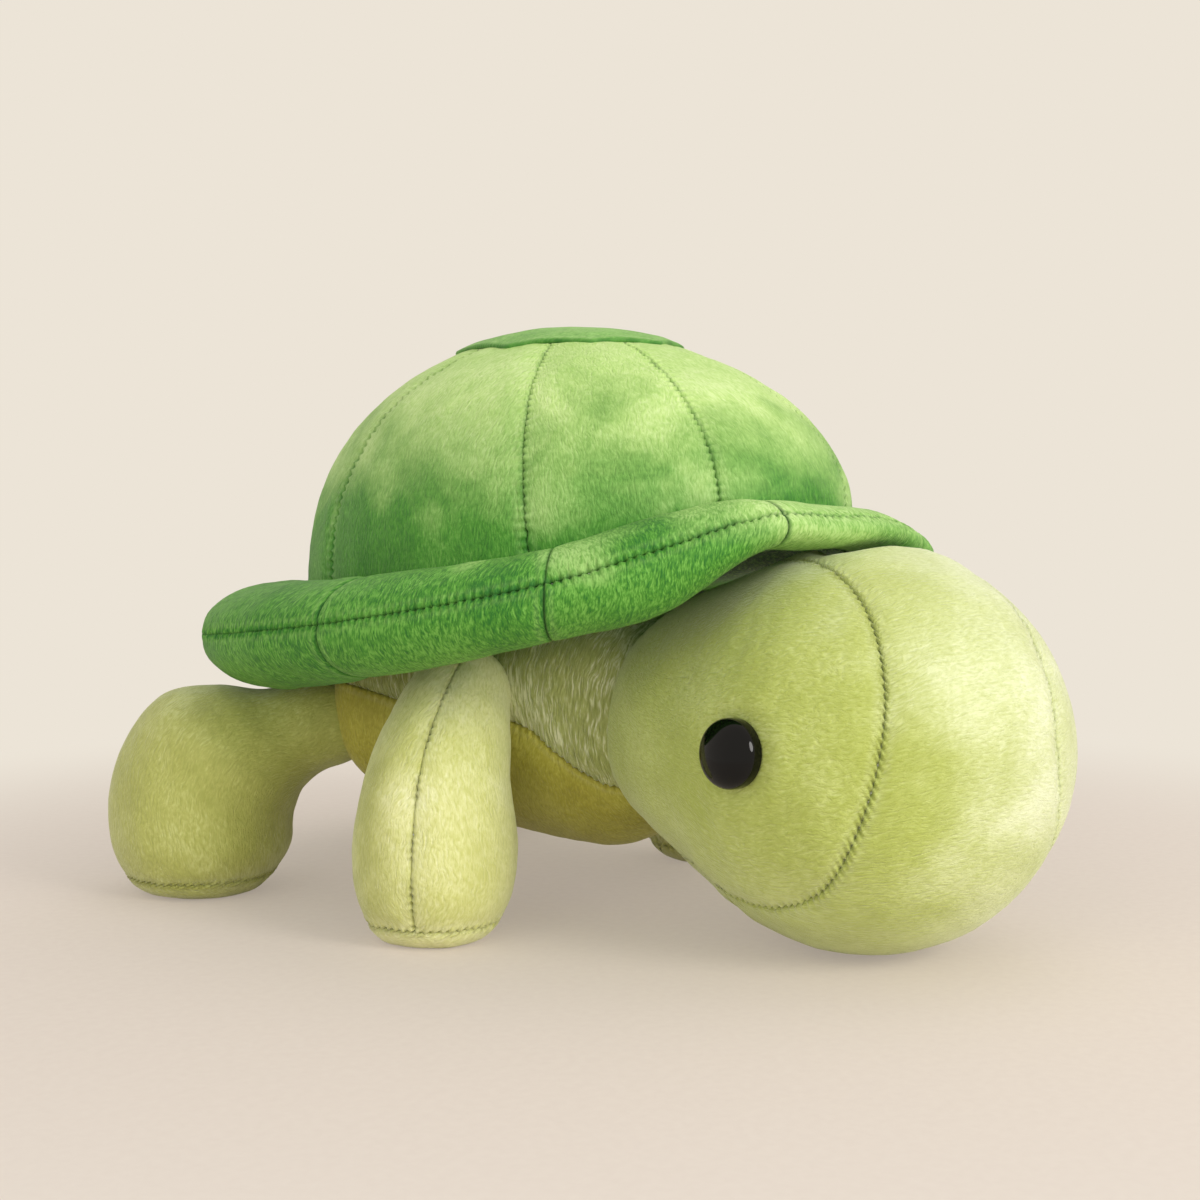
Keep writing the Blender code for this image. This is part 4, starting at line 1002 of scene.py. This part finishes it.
def make_body():
    """The back and flanks in one panel, the two belly panels and their filling."""
    rows = even(down_line(body, 0.5), BODY_FIRST, BODY_LAST, ALONG_SEAM * 1.3)
    parts = (("back_and_flanks", "body_upper", 0.5, 1.5, "flank"),
             ("belly_cover_left", "belly_left", 0.0, 0.5, "belly"),
             ("belly_cover_right", "belly_right", -0.5, 0.0, "belly"))
    for number, (name, node, first, last, look) in enumerate(parts):
        columns = stations(over_line(body, BODY_WIDE_SHARE), first, last)
        cover = panel(name, body, rows, columns, LOOKS[look], 1, (None, None, True, True), number=number,
                      across=True)
        keep(cover, "torso", node)
    fill = filling("body_filling", body, np.linspace(0.01, 0.99, 60), np.linspace(0, 2, 97), 1)
    keep(fill, "torso", "body_stuffing")


def eye_place(way):
    """Middle of an eye on the head and the direction that it faces, the head's normal there."""
    around = np.array([np.arctan2(EYE_ABOVE, EYE_AHEAD)])
    share = np.arccos(np.hypot(EYE_AHEAD, EYE_ABOVE) / HEAD_RADIUS) / (pi / 2)
    shares = SEAM_LEFT_SHARES if way > 0 else SEAM_RIGHT_SHARES
    seam = through(SEAM_STATIONS, shares, np.degrees(around))
    across = way * (SIDE_SEAM_SHARE + (1 - SIDE_SEAM_SHARE) * (share - seam) / (1 - seam))
    step = 1e-4
    place = head(across, around)[0]
    one = (head(across + step, around) - head(across - step, around))[0]
    two = (head(across, around + step) - head(across, around - step))[0]
    axis = np.cross(one, two)
    axis /= np.linalg.norm(axis)
    face = head(np.array([0.0]), np.array([0.0]))[0]
    return place, axis * np.sign(axis @ (place - face + [0, -HEAD_RADIUS, 0]))


def turned(name, profile, cells, centre, axis, look):
    """Profile of radius and height spun about an axis: a grid that is wrapped and closed at its ends."""
    across = np.array([0.0, 0.0, 1.0]) - axis * axis[2]
    across /= np.linalg.norm(across)
    third = np.cross(axis, across)
    profile = np.asarray(profile, float)
    turn = circle(cells)
    spokes = np.cos(turn)[:, None] * across + np.sin(turn)[:, None] * third
    places = centre + profile[:, None, 1:] * axis + profile[:, None, :1] * spokes
    return make_mesh(name, places, [grid(len(profile), cells + 1)], look, joined=True)


def make_head():
    """The head's four panels, its filling, and the eyes with their washers."""
    seam = SIDE_SEAM_SHARE
    eyes = {way: eye_place(way) for way in (1, -1)}

    def pressed(places, normal, thick):
        """Floor flat, and a dimple under each eye that falls off as exp(-(distance / width)^4), in a low
        ridge of exp(-((distance - ring) / width)^2)."""
        dimple = 0
        for centre, axis in eyes.values():
            distance = np.linalg.norm(places - centre, axis=-1) / DIMPLE_RADIUS
            ridge = np.exp(-((distance - RIDGE_PLACE_SHARE) / RIDGE_WIDTH_SHARE) ** 2)
            dimple = dimple + DIMPLE_DEPTH * np.exp(-distance ** 4) - RIDGE_HEIGHT * ridge
        return on_floor(places - normal * dimple[..., None], normal, thick)

    over = even(over_line(head, seam), CHIN_SEAM, pi - NAPE_HALF_GAP, ALONG_SEAM)
    under = even(over_line(head, seam), pi - NAPE_HALF_GAP, 2 * pi + CHIN_SEAM, ALONG_SEAM * 2)
    full = np.r_[over, under[1:]]
    line = down_line(head, HEAD_LINE)
    across = stations(line, -seam, seam)
    left = stations(line, seam, 1, fine_high=False)
    right = stations(line, -seam, -1, fine_high=False)
    cheek = (True, None, None, None)
    covers = (("crown_and_face_cover", "head_middle", across, over, 1, (True, True, False, None), False),
              ("throat_cover", "head_throat", across, under, 1, (True, True, None, False), False),
              ("cheek_cover_left", "head_side_left", left, full, 1, cheek, True),
              ("cheek_cover_right", "head_side_right", right, full, -1, cheek, True))
    for number, (name, node, rows, columns, way, seams, polar) in enumerate(covers):
        cover = panel(name, head, rows, columns, LOOKS["skin"], way, seams, polar, number=number,
                      shape=pressed)
        keep(cover, "head", node)
    fill = filling("head_filling", head, np.linspace(-1, 1, 90), circle(128), 1, standing=True)
    keep(fill, "head", "head_stuffing")

    # a flat back, a small lip, the edge in the cloth and the dome
    profile = [(0, -EYE_SKIRT)]
    profile += [(EYE_RADIUS - EYE_LIP + EYE_LIP * cos(t), -EYE_SKIRT + EYE_LIP + EYE_LIP * sin(t))
                for t in np.linspace(-pi / 2, 0, 6)]
    profile += [(EYE_RADIUS * cos(t) ** EYE_ROUND, EYE_EDGE + EYE_DOME * sin(t))
                for t in np.linspace(0, pi / 2, 30)[:-1]]
    profile += [(0, EYE_EDGE + EYE_DOME)]
    for name, way in (("left", 1), ("right", -1)):
        centre, axis = eyes[way]
        eye = turned(f"safety_eye_{name}", profile, 96, centre + axis * FIT_GAP, axis, LOOKS["eye"])
        keep(eye, "head", f"eye_{name}")
        washer = frame["nodes"][f"eye_washer_{name}"].data.materials
        washer.clear()
        washer.append(LOOKS["washer"])


def make_leg(end, side, sizes, seam, cuts):
    """One leg: its cloth, its sole and its filling.

    cuts says for each panel of the cloth its name, its node's part, and how far from the seam it
    begins and ends, as turns round the leg.
    """
    way = 1 if side == "left" else -1
    form, count = leg(*sizes, way)
    sole_at = count - 3
    name = f"{end}_leg_{side}"
    title = f"leg_{end}_{side}"
    number = 7 * (end == "rear") + 3 * (side == "left")
    rows = stations(down_line(form, seam), HIP_COVER_START, sole_at, fine_low=False, coarse=LEG_COARSE)
    for turn, (part, node, first, last) in enumerate(cuts):
        columns = even(over_line(form, sole_at), seam + first, seam + last, ALONG_SEAM)
        cover = panel(f"{name}_{part}", form, rows, columns, LOOKS["leg"], way, (None, True, True, True),
                      number=number + turn, shape=on_floor)
        keep(cover, title, f"{title}_{node}")
    start = seam + cuts[0][2]
    columns = even(over_line(form, sole_at), start, start + 2 * pi, ALONG_SEAM)
    rows = stations(down_line(form, seam), sole_at, count, fine_high=False, coarse=SOLE_COARSE)
    sole = panel(f"{name}_sole", form, rows, columns, LOOKS["leg"], way, (True, None, None, None),
                 polar=True, number=number + 2, shape=on_floor)
    keep(sole, title, f"{title}_sole")
    rows = np.r_[np.linspace(-1, 0, 8), np.linspace(0, count, 50)[1:]]
    fill = filling(f"{name}_filling", form, rows, circle(48), way, standing=True)
    keep(fill, title, f"{title}_stuffing")


def make_legs():
    """Front legs of two panels and rear legs of one, each on its sole."""
    front = (FRONT_SHOULDER, FRONT_SHOULDER_RADIUS, FRONT_FOOT, FRONT_LEG_RADIUS, FRONT_SOLE_RADIUS,
             FRONT_LEAN, FRONT_BEND_SHARES)
    rear = (REAR_HIP, REAR_HIP_RADIUS, REAR_FOOT, REAR_LEG_RADIUS, REAR_SOLE_RADIUS, REAR_LEAN,
            REAR_BEND_SHARES)
    for side in ("left", "right"):
        make_leg("front", side, front, FRONT_SEAM,
                 (("outer_cover", "outer", -pi, 0), ("inner_cover", "inner", 0, pi)))
    for side in ("left", "right"):
        make_leg("rear", side, rear, REAR_SEAM, (("cover", "cover", 0, 2 * pi),))


def make_tail():
    """The tail: a small stuffed limb with one seam along it, whose dip fades towards its tip."""
    sections = []
    for along, girth in TAIL_SHARES:
        ahead = TAIL_AHEAD - TAIL_LENGTH * along
        sections.append((0, ahead, TAIL_HEIGHT - TAIL_DROP * along, TAIL_RADIUS * girth, 1))
    form = limb(sections, (0, -1), TAIL_LEAN)
    rows = np.r_[np.linspace(-1, 0, 16), np.linspace(0, len(sections), 70)[1:]]
    row, column = np.meshgrid(rows, circle(72), indexing="ij")
    places = form(row, column)
    places[[0, -1]] = places[[0, -1]].mean(1, keepdims=True)
    normal = outward(places, 1, True)
    reach = run(places, 1)
    distance = np.minimum(reach, reach[:, -1:] - reach)
    depth = seam_depth(distance, run(places, 0), True) * np.clip(reach[:, -1:] / TAIL_DIP_GIRTH, 0, 1)
    places = places + normal * (lumps(places, *TAIL_LUMPS) - depth)[..., None]
    places[[0, -1]] = places[[0, -1]].mean(1, keepdims=True)
    down = run(places, 0)
    tail = make_mesh("tail_cover", places, [grid(*row.shape)], LOOKS["flank"], np.stack([reach, down], -1),
                     seam_mark(distance, down, True), joined=True)
    keep(tail, "tail", "tail")


# ---------------------------------------------------------------- studio

def link(thing):
    """Puts an object into the scene."""
    bpy.context.scene.collection.objects.link(thing)


def seen_rays(add):
    """One where a ray ends in the picture, straight from the camera or by a reflection or through glass:
    the greatest of the light path's three flags."""
    path = add("LightPath").outputs
    seen = add("Math", (path["Is Camera Ray"], path["Is Glossy Ray"]), operation="MAXIMUM")
    return add("Math", (seen, path["Is Transmission Ray"]), operation="MAXIMUM")


def make_camera():
    """Camera at the photo's place: its reach and height from the turtle's middle, a little aside."""
    camera = bpy.data.objects.new("camera", bpy.data.cameras.new("camera"))
    camera.data.lens = LENS_MM
    camera.data.sensor_width = SENSOR_MM
    right = np.array([cos(CAMERA_TURN), sin(CAMERA_TURN), 0])
    ahead = np.array([-sin(CAMERA_TURN), cos(CAMERA_TURN), 0])
    camera.location = MIDDLE + CAMERA_ASIDE * right - CAMERA_REACH * ahead + [0, 0, CAMERA_HEIGHT]
    camera.rotation_euler = (pi / 2 - CAMERA_TILT, 0, CAMERA_TURN)
    link(camera)
    bpy.context.scene.camera = camera


def make_floor():
    """Matt paper floor: a disc that shows its shadows near the turtle and glows like the wall far off,
    so that the two meet without a line, as in the photo."""
    made, add = new_material("matt_paper_floor")
    where = add("TexCoord").outputs["Object"]
    speck = add("TexNoise", {"Vector": where, "Scale": 300.0, "Detail": 3.0})
    far = add("VectorMath", (where,), operation="LENGTH").outputs["Value"]
    haze = add("MapRange", (far, GLOW_NEAR, GLOW_FAR), interpolation_type="SMOOTHSTEP")
    share = add("MapRange", (far, GLOW_NEAR, GLOW_FAR, FLOOR_GLOW, 1), interpolation_type="SMOOTHSTEP")
    colour = add("ValToRGB", (speck,), ((0.3, "#DDD0C4"), (0.7, "#E2D6CA")))
    paper = add("BsdfPrincipled", {"Base Color": colour, "Roughness": 0.95})
    pale = add("Mix", {0: haze, 6: linear("#E3D6C9"), 7: linear(WALL)}, data_type="RGBA").outputs[2]
    glow = add("Emission", {"Color": pale, "Strength": 1.0})
    share = add("Math", (share, seen_rays(add)), operation="MULTIPLY")
    surface = add("MixShader", (share, paper, glow))
    add("OutputMaterial", (surface,))
    row, column = np.meshgrid(FLOOR_RINGS, circle(64), indexing="ij")
    places = np.stack([row * np.cos(column), row * np.sin(column), np.full_like(row, -FLOOR_BELOW)], -1)
    floor = make_mesh("floor", places - MIDDLE, [grid(*row.shape)], made, joined=True)


def make_world():
    """Studio world: the wall's colour where it is seen, and a dimmer, whiter light on everything else."""
    world = bpy.data.worlds.new("studio")
    bpy.context.scene.world = world
    add = empty_tree(world)
    shown = add("Background", {"Color": linear(WALL), "Strength": 1.0})
    light = add("Background", {"Color": linear("#FBFAF8"), "Strength": 0.68})
    surface = add("MixShader", (seen_rays(add), light, shown))
    add("OutputWorld", (surface,))


def make_lamps():
    """Three round softboxes aimed at the shell, each so far right, ahead and up from it as seen by the
    camera, with its width and power. Only the key shows in the eyes."""
    centre = Vector(MIDDLE + np.array([0, 0, LAMP_AIM_HEIGHT]))
    right = Vector((cos(CAMERA_TURN), sin(CAMERA_TURN), 0))
    ahead = Vector((-sin(CAMERA_TURN), cos(CAMERA_TURN), 0))
    lamps = (("key_softbox", 0.9, -0.85, 0.5, 0.6, 9.5, "#FFFCF8"),
             ("fill_softbox", -0.5, -1.15, 0.3, 1.2, 3.6, "#FFFEFC"),
             ("top_softbox", 0.3, 0.2, 1.2, 0.9, 2.0, "#FFFDFB"))
    for name, aside, forth, up, size, power, colour in lamps:
        offset = right * aside + ahead * forth + Vector((0, 0, up))
        lamp = bpy.data.objects.new(name, bpy.data.lights.new(name, "AREA"))
        lamp.data.shape = "DISK"
        lamp.data.size = size
        lamp.data.energy = power
        lamp.data.color = linear(colour)[:3]
        lamp.visible_glossy = name == "key_softbox"
        lamp.location = centre + offset
        lamp.rotation_euler = (-offset).to_track_quat("-Z", "Y").to_euler()
        link(lamp)


make_shell()
make_rim()
make_body()
make_head()
make_legs()
make_tail()
make_camera()
make_floor()
make_world()
make_lamps()
bpy.context.scene.view_settings.view_transform = "Standard"
